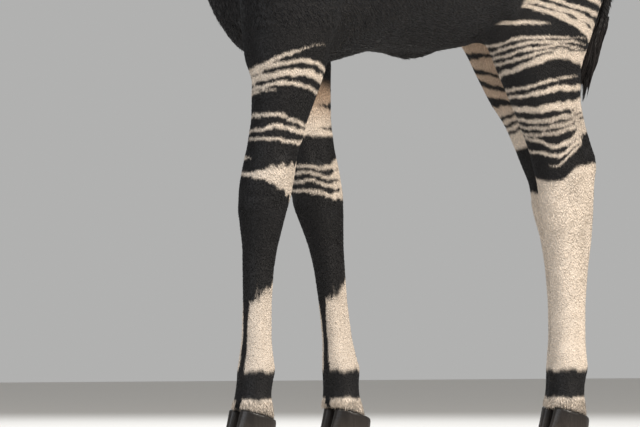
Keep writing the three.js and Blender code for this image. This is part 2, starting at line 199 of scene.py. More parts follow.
def applyModifiers(piece):
    graph = bpy.context.evaluated_depsgraph_get()
    mesh = bpy.data.meshes.new_from_object(piece.evaluated_get(graph))
    piece.modifiers.clear()
    old = piece.data
    piece.data = mesh
    bpy.data.meshes.remove(old)


def remesh(piece, voxel):
    change = piece.modifiers.new("remesh", "REMESH")
    change.mode = "VOXEL"
    change.voxel_size = voxel
    change.use_smooth_shade = True
    applyModifiers(piece)


def coordsOf(mesh):
    flat = np.empty(len(mesh.vertices) * 3)
    mesh.vertices.foreach_get("co", flat)
    return flat.reshape(-1, 3)


def normalsOf(mesh):
    flat = np.empty(len(mesh.vertices) * 3)
    mesh.vertices.foreach_get("normal", flat)
    return flat.reshape(-1, 3)


def moveTo(mesh, p):
    mesh.vertices.foreach_set("co", p.ravel())
    mesh.update()


def weightGroup(piece, name, weights):
    group = piece.vertex_groups.new(name=name)
    steps = np.round(weights * 10).astype(int)
    for step in range(1, 11):
        chosen = np.nonzero(steps == step)[0]
        if len(chosen):
            group.add(chosen.tolist(), step / 10, "REPLACE")


def rounded(piece, times, weights=None):
    change = piece.modifiers.new("round", "SMOOTH")
    change.factor = 0.5
    change.iterations = times
    if weights is not None:
        weightGroup(piece, "round", weights)
        change.vertex_group = "round"
    applyModifiers(piece)


# Rounds a piece and gives back the girth that rounding takes away.
def roundedFull(piece, times, weights, backTimes):
    before = coordsOf(piece.data)
    rounded(piece, times, weights)
    after = coordsOf(piece.data)
    moveTo(piece.data, before - after)
    rounded(piece, backTimes)
    moveTo(piece.data, after + coordsOf(piece.data))


def setAttribute(mesh, name, values):
    attribute = mesh.attributes.new(name, "FLOAT_COLOR", "POINT")
    full = np.ones((len(values), 4), dtype=np.float32)
    full[:, :3] = values
    attribute.data.foreach_set("color", full.ravel())


def smoothShade(mesh):
    mesh.polygons.foreach_set("use_smooth", np.ones(len(mesh.polygons), dtype=bool))
    mesh.update()


# How much of each point belongs to each part of the animal

def legWeight(leg, p, top):
    sameSide = smoothStep(p[:, 1] * legSigns[leg], -0.01, 0.03)
    return (roundLeg(leg, p)[1] < 1.45) * sameSide * (1 - smoothStep(p[:, 2], top, top + 0.03))


def headWeight(p):
    return smoothStep(inHead(p)[0], -0.03, 0.03) * (p[:, 2] > headFloor)


def neckWeight(p):
    forward = (p - along(0.47, 0, 1.322)) @ neckAlong
    return smoothStep(forward, -0.06, 0.06) * (1 - headWeight(p))


def nearestLeg(p):
    names = list(legSigns)
    far = np.stack([np.where(p[:, 1] * legSigns[leg] > 0, roundLeg(leg, p)[1], 99) for leg in names])
    return np.array(names)[np.argmin(far, axis=0)], far.min(axis=0)


def isLeg(p):
    return (p[:, 2] < legCut["fore"]) | ((p[:, 2] < 0.80) & (p[:, 0] < originX))


def isTail(p, top):
    return (p[:, 0] < originX - 0.475) & (np.abs(p[:, 1]) < 0.09) & (p[:, 2] < top)


# Anatomy: soft ridges and hollows, each a stroke from one point to another

# Each has a start, an end, a radius and how far it stands out. On the legs the places are a height
# and an angle round the leg.
fetlockStrokes = [
    ((0.158, 180), (0.150, 180), 0.016, 0.007),
    ((0.150, 0), (0.150, 0), 0.016, 0.003),
    ((0.112, 180), (0.088, 180), 0.014, -0.006),
]
footStrokes = [
    ((0.155, 85), (0.155, 85), 0.018, 0.003),
    ((0.155, -85), (0.155, -85), 0.018, 0.003),
    ((0.12, 0), (0.06, 0), 0.009, -0.004),
    ((0.10, 180), (0.07, 180), 0.010, -0.005),
]
foreStrokes = [
    ((0.80, 20), (0.61, 5), 0.030, 0.005),
    ((0.79, 74), (0.61, 84), 0.012, -0.0045),
    ((0.79, 140), (0.65, 150), 0.028, 0.004),
    ((0.78, -60), (0.60, -70), 0.014, -0.003),
    ((0.545, 0), (0.545, 0), 0.022, 0.0045),
    ((0.498, 0), (0.498, 0), 0.019, 0.0035),
    ((0.522, 60), (0.522, 20), 0.008, -0.002),
    ((0.53, 180), (0.515, 180), 0.017, 0.008),
    ((0.50, 100), (0.46, 100), 0.012, -0.003),
    ((0.42, 100), (0.20, 100), 0.009, -0.003),
    ((0.42, -100), (0.20, -100), 0.009, -0.003),
]
hindStrokes = [
    ((0.73, 112), (0.625, 128), 0.015, -0.009),
    ((0.73, -112), (0.625, -128), 0.015, -0.009),
    ((0.606, 178), (0.606, 178), 0.016, 0.006),
    ((0.85, 60), (0.73, 45), 0.045, 0.008),
    ((0.565, 88), (0.565, 88), 0.020, 0.0045),
    ((0.545, -88), (0.545, -88), 0.020, 0.0045),
    ((0.50, 20), (0.46, 5), 0.016, 0.003),
    ((0.46, 112), (0.21, 108), 0.009, -0.0035),
    ((0.46, -112), (0.21, -108), 0.009, -0.0035),
    ((0.88, 5), (0.86, 5), 0.040, 0.008),
]
# In metres ahead of the measures' start, to the side and above the floor.
trunkStrokes = [
    ((0.34, 0.13, 1.40), (0.50, 0.16, 1.08), 0.028, 0.007),
    ((0.40, 0.20, 1.10), (0.43, 0.19, 0.93), 0.060, 0.010),
    ((0.27, 0.23, 1.28), (0.31, 0.20, 0.95), 0.040, -0.009),
    ((-0.17, 0.16, 1.30), (-0.17, 0.16, 1.30), 0.035, 0.012),
    ((-0.08, 0.23, 1.20), (-0.04, 0.25, 1.12), 0.060, -0.012),
    ((-0.27, 0.21, 1.08), (-0.22, 0.21, 0.98), 0.080, 0.010),
    ((-0.39, 0.15, 1.22), (-0.37, 0.17, 0.92), 0.018, -0.006),
    ((-0.07, 0.20, 0.90), (0.01, 0.24, 0.98), 0.025, 0.012),
    ((0.55, 0.075, 1.31), (0.79, 0.062, 1.585), 0.020, -0.007),
    ((0.50, 0.10, 1.40), (0.74, 0.075, 1.63), 0.032, 0.005),
    ((0.56, 0.05, 1.00), (0.48, 0.05, 0.83), 0.035, 0.007),
    ((0.57, 0.0, 1.05), (0.50, 0.0, 0.82), 0.010, -0.005),
] + [
    ((0.20 - 0.055 * k, 0.26, 1.22), (0.14 - 0.055 * k, 0.26, 0.94), 0.012, 0.0022) for k in range(6)
]
# Along, up and to the side in the head's own directions.
headStrokes = [
    ((0.215, 0.004, 0.066), (0.10, 0.0, 0.084), 0.013, 0.005),
    ((0.105, -0.065, 0.066), (0.075, -0.04, 0.076), 0.040, 0.005),
    ((0.20, -0.035, 0.062), (0.28, -0.035, 0.052), 0.018, -0.005),
    ((0.205, 0.040, 0.055), (0.225, 0.030, 0.055), 0.014, -0.004),
    ((0.17, 0.086, 0.056), (0.115, 0.084, 0.062), 0.012, 0.006),
    ((0.055, 0.03, 0.078), (0.085, 0.045, 0.078), 0.022, -0.006),
    ((0.30, 0.045, 0.032), (0.42, 0.032, 0.030), 0.012, -0.003),
    ((0.455, 0.022, 0.034), (0.492, 0.014, 0.030), 0.011, 0.006),
    ((0.492, 0.004, 0.034), (0.475, -0.004, 0.042), 0.008, 0.003),
    ((0.44, -0.014, 0.042), (0.485, -0.014, 0.034), 0.011, 0.005),
    ((0.43, -0.043, 0.036), (0.475, -0.040, 0.026), 0.010, 0.005),
    ((0.385, -0.038, 0.044), (0.375, -0.052, 0.044), 0.009, -0.003),
    ((0.102, 0.088, 0.046), (0.102, 0.088, 0.046), 0.024, 0.008),
]
mouth = [(0.392, -0.036), (0.43, -0.034), (0.47, -0.027), (0.515, -0.023)]


def allStrokes():
    for leg in legSigns:
        own = foreStrokes if kindOf(leg) == "fore" else hindStrokes
        for start, end, radius, amount in fetlockStrokes + own + footStrokes:
            yield legPoint(leg, *start), legPoint(leg, *end), radius, amount
    for rows, spotOn in ((trunkStrokes, trunkSpot), (headStrokes, headSpot)):
        for start, end, radius, amount in rows:
            for side in (1, -1):
                yield spotOn(start, side), spotOn(end, side), radius, amount


# How far points lie above the line between the lips.
def aboveMouth(forward, up):
    return up - np.interp(forward, *np.array(mouth).T)


def fromSegment(p, start, end):
    way = end - start
    t = np.clip((p - start) @ way / max(way @ way, 1e-9), 0, 1)
    return np.linalg.norm(p - start - t[:, None] * way, axis=1)


def sculpt(mesh):
    p = coordsOf(mesh)
    n = normalsOf(mesh)
    push = np.zeros(len(p))
    for start, end, radius, amount in allStrokes():
        low = np.minimum(start, end) - 3 * radius
        high = np.maximum(start, end) + 3 * radius
        near = np.nonzero(((p > low) & (p < high)).all(axis=1))[0]
        push[near] += amount * bell(fromSegment(p[near], start, end), radius)
    forward, up = inHead(p)[:2]
    lips = (forward > 0.385) & headArea(p)
    push -= 0.0055 * bell(aboveMouth(forward, up), 0.0036) * lips * smoothStep(forward, 0.385, 0.40)
    moveTo(mesh, p + n * push[:, None])


def headArea(p):
    return (p[:, 2] > headFloor) & (inHead(p)[0] > -0.03)


skinSet = {
    "voxel": 0.0057,
    "grow": 0.0006,
    "bodyRounding": 150,
    "girthRounding": 90,
    "bodyFaceShare": 0.2,
    "bodyDepth": 0.0042,  # how far the skin lies inside the coat's outline
    "legDepth": 0.0026,
    "headDepth": 0.0012,
    "shade": 0.8,  # its colour beside the coat's: darker, as painted shade down among the tufts
}


def skinDepth(p):
    head = headWeight(p)
    above = smoothStep(p[:, 2], 0.72, 0.94)
    body = skinSet["legDepth"] * (1 - above) + skinSet["bodyDepth"] * above
    return body * (1 - head) + skinSet["headDepth"] * head


# Nostrils and eye pits

earPlace = (0.026, 0.056, 0.060)
eyePlace = (0.166, 0.040, 0.060)
nostrilPlace = (0.484, 0.012, 0.036)
eyeSet = {
    "radius": 0.0238,
    "halfWidth": 0.0215,
    "lidAbove": 0.0118,
    "lidBelow": 0.0098,
    "iris": (0.030, 0.013, 0.006),
    "white": (0.045, 0.030, 0.022),
    "pupil": (0.002, 0.002, 0.003),
    "pupilWide": 0.42,  # half its size, as an angle
    "pupilHigh": 0.22,
}


def eyeCentre(side):
    return headSpot(eyePlace, side)


def eyeAxes(side):
    out = unit(np.array([0.26, side, 0.1]))
    forward = unit(headAlong - out * (headAlong @ out))
    rise = np.cross(out, forward) * -side
    if rise[2] < 0:
        rise = -rise
    return forward, rise, out


# The almond between the lids: how far above and below the eye's level its edges are.
def lidEdges(f):
    t = np.clip(f / eyeSet["halfWidth"], -1, 1)
    arch = 1 - np.abs(t) ** 2.2
    middle = 0.0012 * t - 0.0005
    return middle + eyeSet["lidAbove"] * arch, middle - eyeSet["lidBelow"] * arch


def carve(mesh):
    p = coordsOf(mesh)
    forward, up, sideways = inHead(p)
    rim = np.hypot((up + 0.012) / 0.040, sideways / 0.044)
    blunt = smoothStep(forward, 0.478, 0.512) * headArea(p) * np.clip(rim - 0.35, 0, 1) ** 1.5
    p -= (0.022 * blunt)[:, None] * headAlong
    for side in (1, -1):
        centre = eyeCentre(side)
        forward, rise, out = eyeAxes(side)
        q = p - centre
        f, r, o = q @ forward, q @ rise, q @ out
        upper, lower = lidEdges(f)
        inside = (np.abs(f) < 0.0212) & (r < upper - 0.0004) & (r > lower + 0.0004) & (o > 0)
        size = np.linalg.norm(q, axis=1)
        goal = np.minimum(size, eyeSet["radius"] - 0.004)
        p = np.where(inside[:, None], centre + q * (goal / np.maximum(size, 1e-6))[:, None], p)
        ring = (o > 0) & (size < 0.040) & ~inside
        least = eyeSet["radius"] + 0.0012 + 0.0016 * smoothStep(size, 0.026, 0.034)
        lifted = np.maximum(size, least)
        p = np.where(ring[:, None], centre + q * (lifted / np.maximum(size, 1e-6))[:, None], p)
        slant = unit(headAlong * 0.75 + headUp * 0.25 + np.array([0, side * 0.45, 0]))
        w = p - headSpot(nostrilPlace, side)
        bend = w @ headUp - 9 * (w @ headAlong) ** 2 - 0.15 * (w @ headAlong)
        away = np.sqrt((w @ headAlong / 0.0145) ** 2 + (bend / 0.0066) ** 2 + (w[:, 1] / 0.011) ** 2)
        p -= slant * (0.013 * np.exp(-(away ** 2.6)))[:, None]
    moveTo(mesh, p)


def refine(piece):
    mesh = piece.data
    p = coordsOf(mesh)
    wanted = headArea(p) & (inHead(p)[0] > 0.36)
    for side in (1, -1):
        wanted |= np.linalg.norm(p - eyeCentre(side), axis=1) < 0.042
    work = bmesh.new()
    work.from_mesh(mesh)
    work.verts.ensure_lookup_table()
    flags = wanted.tolist()
    edges = [e for e in work.edges if flags[e.verts[0].index] and flags[e.verts[1].index]]
    bmesh.ops.subdivide_edges(work, edges=edges, cuts=1, use_grid_fill=True, smooth=0.0)
    bmesh.ops.triangulate(work, faces=[f for f in work.faces if len(f.verts) > 4])
    work.to_mesh(mesh)
    work.free()


fleshNodes = ["torso", "neck", "head", "tail"] + [
    leg + part for leg in legSigns for part in ("_upper", "_lower")
]


def makeSkin():
    skin = joinedNodes("skin", fleshNodes + ["eye_left", "eye_right"])
    moveTo(skin.data, coordsOf(skin.data) + normalsOf(skin.data) * skinSet["grow"])
    remesh(skin, skinSet["voxel"])
    p = coordsOf(skin.data)
    soft = (0.12 + 0.88 * smoothStep(p[:, 2], 0.76, 0.90)) * (1 - headWeight(p))
    soft = soft + 0.1 * headWeight(p)
    soft = np.where(isTail(p, 1.25), 0.1, soft)
    roundedFull(skin, skinSet["bodyRounding"], soft, skinSet["girthRounding"])
    p = coordsOf(skin.data)
    cannon = (p[:, 2] > 0.17) & (p[:, 2] < 0.43)
    thin = np.where((isStriped(p) & ~cannon) | (headWeight(p) > 0.01), 0.0, 1.0)
    weightGroup(skin, "thin", thin)
    change = skin.modifiers.new("thin", "DECIMATE")
    change.vertex_group = "thin"
    change.vertex_group_factor = 1000
    kept = (thin < 0.5).mean()
    change.ratio = kept + (1 - kept) * skinSet["bodyFaceShare"]
    applyModifiers(skin)
    refine(skin)
    sculpt(skin.data)
    p = coordsOf(skin.data)
    moveTo(skin.data, p - normalsOf(skin.data) * skinDepth(p)[:, None])
    carve(skin.data)
    smoothShade(skin.data)
    return skin


# Markings. Heights are in millimetres above the floor at five places across the side that each
# list is for, from the front edge to the back edge, and so are the widths of the stripes.
outerAngles = [-38, 22, 52, 82, 142]
innerAngles = [-142, -82, -52, -22, 38]
foreStripes = [
    ([775, 793, 815, 831, 840], [10, 9, 8, 3, 0]),
    ([776, 787, 800, 804, 784], [14, 12, 8, 8, 8]),
    ([759, 769, 779, 780, 764], [17, 14, 13, 14, 17]),
    ([741, 750, 760, 754, 738], [6, 7, 7, 7, 7]),
    ([730, 742, 747, 747, 747], [7, 4, 0, 0, 0]),
    ([685, 691, 693, 682, 668], [6, 7, 7, 7, 8]),
    ([652, 661, 668, 662, 655], [6, 7, 9, 9, 12]),
    ([635, 642, 641, 636, 634], [3, 5, 5, 6, 9]),
    ([600, 600, 600, 600, 600], [10, 0, 0, 0, 0]),
    ([566, 567, 567, 563, 551], [5, 12, 26, 48, 72]),
]
hindStripes = [
    ([1040, 1060, 1088, 1100, 1068], [0, 0, 0, 0, 5]),
    ([1040, 1060, 1080, 1080, 1045], [0, 0, 0, 5, 6]),
    ([1030, 1056, 1074, 1056, 1020], [0, 0, 3, 6, 7]),
    ([1026, 1042, 1052, 1030, 996], [0, 2, 6, 7, 8]),
    ([1018, 1028, 1028, 1004, 972], [0, 5, 7, 8, 9]),
    ([998, 1004, 1002, 980, 950], [3, 7, 9, 9, 9]),
    ([974, 978, 976, 955, 928], [6, 8, 9, 9, 9]),
    ([952, 953, 950, 931, 905], [8, 9, 9, 8, 10]),
    ([932, 932, 932, 918, 881], [9, 9, 9, 10, 14]),
    ([913, 916, 921, 904, 859], [17, 10, 8, 12, 22]),
    ([876, 885, 888, 886, 880], [6, 6, 8, 0, 0]),
    ([838, 843, 856, 858, 852], [5, 5, 6, 4, 0]),
    ([823, 830, 845, 849, 840], [5, 5, 6, 6, 0]),
    ([812, 817, 832, 839, 830], [5, 5, 6, 5, 0]),
    ([798, 804, 819, 830, 832], [5, 6, 6, 4, 0]),
    ([772, 786, 801, 818, 813], [8, 9, 12, 16, 30]),
    ([741, 748, 757, 767, 781], [5, 6, 6, 5, 0]),
    ([728, 733, 739, 748, 752], [5, 7, 9, 12, 11]),
    ([704, 705, 705, 711, 718], [10, 13, 14, 17, 21]),
    ([684, 681, 680, 688, 704], [7, 8, 9, 10, 8]),
    ([668, 666, 665, 674, 694], [6, 7, 8, 9, 8]),
    ([655, 651, 652, 662, 682], [6, 7, 8, 9, 10]),
    ([646, 638, 625, 638, 673], [6, 7, 8, 9, 22]),
    ([619, 612, 606, 623, 663], [5, 6, 8, 8, 12]),
    ([585, 585, 587, 612, 655], [0, 0, 3, 6, 0]),
]
hockLine = [562, 555, 554, 580, 591]
# On the inner side the pale coat carries dark stripes, listed from the back edge to the front.
foreInnerDark = [
    ([617, 617, 617, 617, 617], [50, 56, 59, 59, 59]),
    ([712, 712, 712, 712, 712], [16, 0, 0, 0, 0]),
    ([664, 664, 664, 664, 664], [10, 0, 0, 0, 0]),
]
foreInnerPale = [
    ([588, 582, 584, 584, 583], [26, 7, 6, 5, 5]),
    ([570, 562, 570, 569, 567], [26, 7, 6, 6, 5]),
    ([548, 545, 553, 552, 551], [26, 8, 6, 6, 5]),
    ([524, 524, 530, 533, 534], [24, 9, 8, 6, 4]),
]
hindInnerDark = [
    ([819, 819, 819, 819, 819], [0, 0, 0, 9, 17]),
    ([770, 770, 768, 778, 792], [0, 0, 0, 7, 14]),
    ([738, 738, 739, 748, 768], [0, 0, 4, 10, 17]),
    ([712, 712, 714, 719, 724], [0, 0, 0, 12, 26]),
    ([704, 704, 702, 694, 685], [0, 4, 6, 7, 8]),
    ([694, 694, 692, 680, 668], [0, 5, 6, 7, 7]),
    ([682, 682, 680, 666, 652], [0, 5, 6, 7, 6]),
]
innerHockTop = [640, 638, 634, 626, 618]


def curved(x, xs, ys):
    xs, ys = np.array(xs, float), np.array(ys, float)
    slopes = np.gradient(ys, xs)
    x = np.clip(x, xs[0], xs[-1])
    k = np.clip(np.searchsorted(xs, x) - 1, 0, len(xs) - 2)
    h = xs[k + 1] - xs[k]
    t = (x - xs[k]) / h
    a = (1 + 2 * t) * (1 - t) ** 2 * ys[k] + t * (1 - t) ** 2 * h * slopes[k]
    return a + t * t * (3 - 2 * t) * ys[k + 1] + t * t * (t - 1) * h * slopes[k + 1]


def wobble(angle, z, phase):
    a = np.radians(angle)
    slow = 1.3 * np.sin(4 * a + 23 * z + phase) + 0.8 * np.sin(9 * a - 47 * z + 2.1 * phase)
    return slow + 0.5 * np.sin(23 * a + 83 * z + 3.3 * phase)


def cover(angle, z, angles, stripes, phase=0.0, blur=1.2):
    best = np.zeros(len(z))
    height = z * 1000
    for k, (heights, widths) in enumerate(stripes):
        middle = curved(angle, angles, heights) + wobble(angle, z, k + phase)
        width = curved(angle, angles, widths) * (1 + 0.14 * np.sin(np.radians(angle) * 13 + 5 * k + phase))
        edge = np.clip((width / 2 - np.abs(height - middle)) / blur + 0.5, 0, 1)
        best = np.maximum(best, edge * (width > 0.8))
    return best


# How pale the coat is on a leg, 0 to 1, and how much of that is painted shade: a warm tan on the upper inner
# sides.
def paleOnLeg(leg, p, jitter):
    kind = kindOf(leg)
    angle = roundLeg(leg, p)[0]
    z = p[:, 2] + jitter
    phase = 0.0 if leg.endswith("left") else 2.6
    mm = z * 1000
    turn = np.where(angle < -142, angle + 360, angle)
    if kind == "fore":
        outer = cover(turn, z, outerAngles, foreStripes, phase)
        smear = bell(mm - 578 - 0.05 * turn, 1.8) * (turn > -10) * (turn < 120)
        outer = outer * (1 - 0.75 * smear)
        above = smoothStep(mm, 645, 650) * (1 - smoothStep(mm + 0.2 * np.abs(angle + 52), 752, 786))
        inner = np.maximum(above - cover(angle, z, innerAngles, foreInnerDark, phase, 2.0), 0)
        inner = np.maximum(inner, cover(angle, z, innerAngles, foreInnerPale, phase))
    else:
        outer = cover(turn, z, outerAngles, hindStripes, phase)
        crimp = 0.80 + 0.20 * np.sin(np.radians(angle) * 60 + 5 * np.sin(z * 190))
        outer = outer * np.where((mm > 640) & (mm < 700), crimp, 1)
        line = curved(turn, outerAngles, hockLine) + wobble(angle, z, 4 + phase)
        outer = np.maximum(outer, smoothStep(line - mm, -2, 3))
        above = smoothStep(mm - curved(angle, innerAngles, innerHockTop), -3, 3) * (mm < 960)
        inner = np.maximum(above - cover(angle, z, innerAngles, hindInnerDark, phase, 2.0), 0)
        inner = np.maximum(inner, smoothStep(528 + 0.15 * angle + wobble(angle, z, 9) - mm, -2, 3))
    edge = 44 if leg.endswith("right") else -44
    ragged = 6 * np.sin(z * 130 + phase) + 4 * np.sin(z * 310)
    isInner = smoothStep(-turn + 0.4 * ragged, -edge - 8, -edge + 8) + smoothStep(turn + ragged, 202, 218)
    pale = outer * (1 - isInner) + inner * isInner
    # The lower legs: a pale cannon with a dark line down its front, and a dark band on the fetlock.
    if kind == "fore":
        start = 322 - 26 * np.cos(np.radians(angle)) + 3 * wobble(angle, z, 7 + phase)
        frontLine = np.abs(angle + 1.2 * wobble(angle, z, 5)) < 15 + 14 * smoothStep(mm, 230, 330)
        pale = np.where(mm < start + 40, np.maximum(pale, smoothStep(start - mm, -3, 5)), pale)
        pale = pale * (1 - frontLine * (mm < 345))
    fetlock = smoothStep(mm + 1.5 * wobble(angle, z, 1), 90, 99)
    fetlock = fetlock * (1 - smoothStep(mm + 2 * wobble(angle, z, 3), 148, 160))
    pale = pale * (1 - fetlock)
    # Painted shade: the upper inner sides are painted a warm tan in place of cream, for the shade and warm
    # reflected light there.
    innerShade = isInner * smoothStep(mm, 655, 745) * (0.8 if kind == "fore" else 0.6)
    return pale, np.clip(innerShade, 0, 1)


def mix(a, b, t):
    return a * (1 - t[:, None]) + b * t[:, None]


colours = {
    "black": (0.0056, 0.0050, 0.0054),
    "brown": (0.040, 0.0185, 0.0125),
    "cream": (0.67, 0.58, 0.49),
    # Painted shade: the warm tan of the legs' shaded upper inner sides.
    "shadedTan": (0.43, 0.28, 0.175),
    "greyCream": (0.36, 0.305, 0.25),
    "muzzle": (0.020, 0.017, 0.017),
}


def coatColour(p, n, shade=0.0):
    count = len(p)
    black, brown = np.array(colours["black"]), np.array(colours["brown"])
    cream, shadedTan = np.array(colours["cream"]), np.array(colours["shadedTan"])
    high = smoothStep(p[:, 2], 0.92, 1.30)
    patchy = 0.5 + 0.5 * np.sin(9 * p[:, 0] + 4 * np.sin(7 * p[:, 2])) * np.sin(11 * p[:, 2] + 3 * p[:, 1])
    colour = mix(np.tile(black, (count, 1)), brown, high * (0.65 + 0.35 * patchy))
    for leg in legSigns:
        kind = kindOf(leg)
        weight = legWeight(leg, p, 0.862 if kind == "fore" else 1.10)
        chosen = np.nonzero(weight > 0)[0]
        q = p[chosen]
        pale, innerShade = paleOnLeg(leg, q, shade * draw.normal(0, 0.0005, len(q)))
        out = roundLeg(leg, q)[1]
        onLeg = q[:, 2] < legCut[kind]
        outward = n[chosen, 1] * legSigns[leg]
        faces = smoothStep(outward, -0.75, -0.5) if kind == "fore" else smoothStep(outward, -0.5, -0.1)
        faces = np.where(onLeg, 1, faces * (1 - smoothStep(out, 1.18, 1.36)))
        if kind == "hind":
            faces = np.where(~onLeg & (outward < -0.1) & (q[:, 2] < 0.93), 1, faces)
        light = mix(np.tile(cream, (len(q), 1)), shadedTan, innerShade)
        colour[chosen] = mix(colour[chosen], light, pale * weight[chosen] * faces)
    return faceColour(p, colour)


def faceColour(p, colour):
    forward, up, side = inHead(p)
    head = headArea(p) * 1.0
    grey, dark = np.array(colours["greyCream"]), np.array(colours["muzzle"])
    cheek = smoothStep(-up, -0.035, 0.015) * smoothStep(np.abs(side), 0.012, 0.05)
    cheek = cheek * (1 - smoothStep(forward, 0.36, 0.42)) * smoothStep(forward, -0.01, 0.05)
    throat = smoothStep(-up, 0.03, 0.07) * (1 - smoothStep(forward, 0.38, 0.43))
    jaw = 1 - smoothStep(-up - 0.25 * forward, 0.075, 0.125)
    cheek, throat = cheek * jaw, throat * jaw
    pale = np.clip(np.maximum(cheek * 0.9, throat * 0.7), 0, 1) * head
    colour = mix(colour, grey, pale)
    nose = smoothStep(forward, 0.375, 0.44) * head
    colour = mix(colour, dark, nose)
    for s in (1, -1):
        q = p - eyeCentre(s)
        near = np.linalg.norm(q, axis=1)
        way, rise = eyeAxes(s)[:2]
        fromEye = np.hypot(q @ way / 1.22, q @ rise / 0.86)
        colour = mix(colour, dark * 0.6, (1 - smoothStep(fromEye, 0.0185, 0.0245)) * (near < 0.05) * head)
        # A dark line runs forward and down from the eye's front corner.
        lineBeforeEye = bell(q @ rise + 0.25 * q @ way + 0.004, 0.005) * smoothStep(q @ way, 0.014, 0.026)
        lineBeforeEye = lineBeforeEye * (1 - smoothStep(q @ way, 0.040, 0.070)) * (near < 0.09)
        colour = mix(colour, dark, 0.75 * lineBeforeEye * head)
        root = np.linalg.norm(p - headSpot(earPlace, s), axis=1)
        colour = mix(colour, np.array([0.020, 0.0125, 0.010]), (1 - smoothStep(root, 0.034, 0.052)) * head)
        # Painted shade: the nostril pits are painted nearly black.
        w = p - headSpot(nostrilPlace, s)
        nostrilShade = np.hypot(w @ headAlong / 0.014, w @ headUp / 0.0075)
        nostrilShade = np.exp(-(nostrilShade ** 4)) * (np.abs(w[:, 1]) < 0.02)
        colour = mix(colour, dark * 0.12, nostrilShade * head)
    # Painted shade: a dark line along the crease between the lips.
    lips = bell(aboveMouth(forward, up), 0.0028) * (forward > 0.39) * head
    return mix(colour, dark * 0.3, lips * 0.9)


# The coat: its measures, its lie and its tufts

coatSet = {
    "bodyPerSquareMetre": 50000,
    "legPerSquareMetre": 150000,
    "headPerSquareMetre": 150000,
    "bodyLength": 0.0135,
    "legLength": 0.0062,
    "headLength": 0.0046,
    "bodyWidth": 0.0034,
    "legWidth": 0.0023,
    "headWidth": 0.0014,
    "lift": 0.15,
    "ridge": 0.3,  # how far a tuft's back stands up, as a share of its width
    "lightness": (0.74, 1.26),
    "fringeLength": 0.013,  # over the tops of the hooves
    "fringeTop": 0.098,
    "patch": 0.003,
}


def lieOf(p, n):
    body = np.array([-1.0, 0, -0.42])
    down = np.array([-0.12, 0, -1.0])
    neck = np.array([-0.73, 0, -0.68])
    head = -headAlong + 0.25 * headUp
    leg = 1 - smoothStep(p[:, 2], 0.80, 1.0)
    haunch = smoothStep(-p[:, 0], 0.12 - originX, 0.30 - originX) * 0.6
    way = mix(np.tile(body, (len(p), 1)), down, np.maximum(leg, haunch))
    way = mix(way, neck, neckWeight(p))
    way = mix(way, head, headWeight(p))
    belly = smoothStep(-n[:, 2], 0.5, 0.9) * (p[:, 2] > 0.78) * (p[:, 2] < 1.1)
    way = mix(way, np.array([-1.0, 0, -0.1]), belly)
    knee = bell(p[:, 2] - 0.505, 0.035) * (p[:, 0] > originX - 0.02) * (n[:, 0] > -0.2)
    way += np.cross(n, np.array([0, 0, 1.0])) * (1.1 * knee * np.sin((p[:, 2] - 0.505) * 60))[:, None]
    way += draw.normal(0, 0.10, way.shape)
    return laidFlat(way, n)


# The short striped coat: the legs, and the haunch and upper foreleg as far as their stripes reach.
def isStriped(p):
    striped = isLeg(p)
    for leg in legSigns:
        top = 0.88 if kindOf(leg) == "fore" else 1.11
        striped |= (roundLeg(leg, p)[1] < 1.42) & (p[:, 1] * legSigns[leg] > 0) & (p[:, 2] < top)
    return striped


def lengthOf(p):
    head = headWeight(p)
    low = smoothStep(p[:, 2], 0.2, 0.5)
    size = np.where(isStriped(p), coatSet["legLength"] * (0.6 + 0.4 * low), coatSet["bodyLength"])
    size = np.where(p[:, 2] < coatSet["fringeTop"], coatSet["fringeLength"], size)
    onHead = coatSet["headLength"] * (1 - 0.55 * smoothStep(inHead(p)[0], 0.3, 0.46))
    return size * (1 - head) + onHead * head


def densityOf(p):
    size = np.where(isStriped(p), coatSet["legPerSquareMetre"], coatSet["bodyPerSquareMetre"])
    return np.where(headArea(p), coatSet["headPerSquareMetre"], size)


def scatter(mesh, density):
    mesh.calc_loop_triangles()
    count = len(mesh.loop_triangles)
    corners = np.empty(count * 3, dtype=np.int32)
    mesh.loop_triangles.foreach_get("vertices", corners)
    corners = corners.reshape(-1, 3)
    p, n = coordsOf(mesh), normalsOf(mesh)
    a, b, c = p[corners[:, 0]], p[corners[:, 1]], p[corners[:, 2]]
    area = np.linalg.norm(np.cross(b - a, c - a), axis=1) / 2
    wanted = area * density((a + b + c) / 3)
    number = np.floor(wanted + draw.random(count)).astype(int)
    face = np.repeat(np.arange(count), number)
    r = np.sqrt(draw.random(len(face)))
    s = draw.random(len(face))
    weights = np.stack([1 - r, r * (1 - s), r * s], axis=1)[:, :, None]
    place = (p[corners[face]] * weights).sum(axis=1)
    normal = (n[corners[face]] * weights).sum(axis=1)
    return place, normal / np.linalg.norm(normal, axis=1)[:, None]


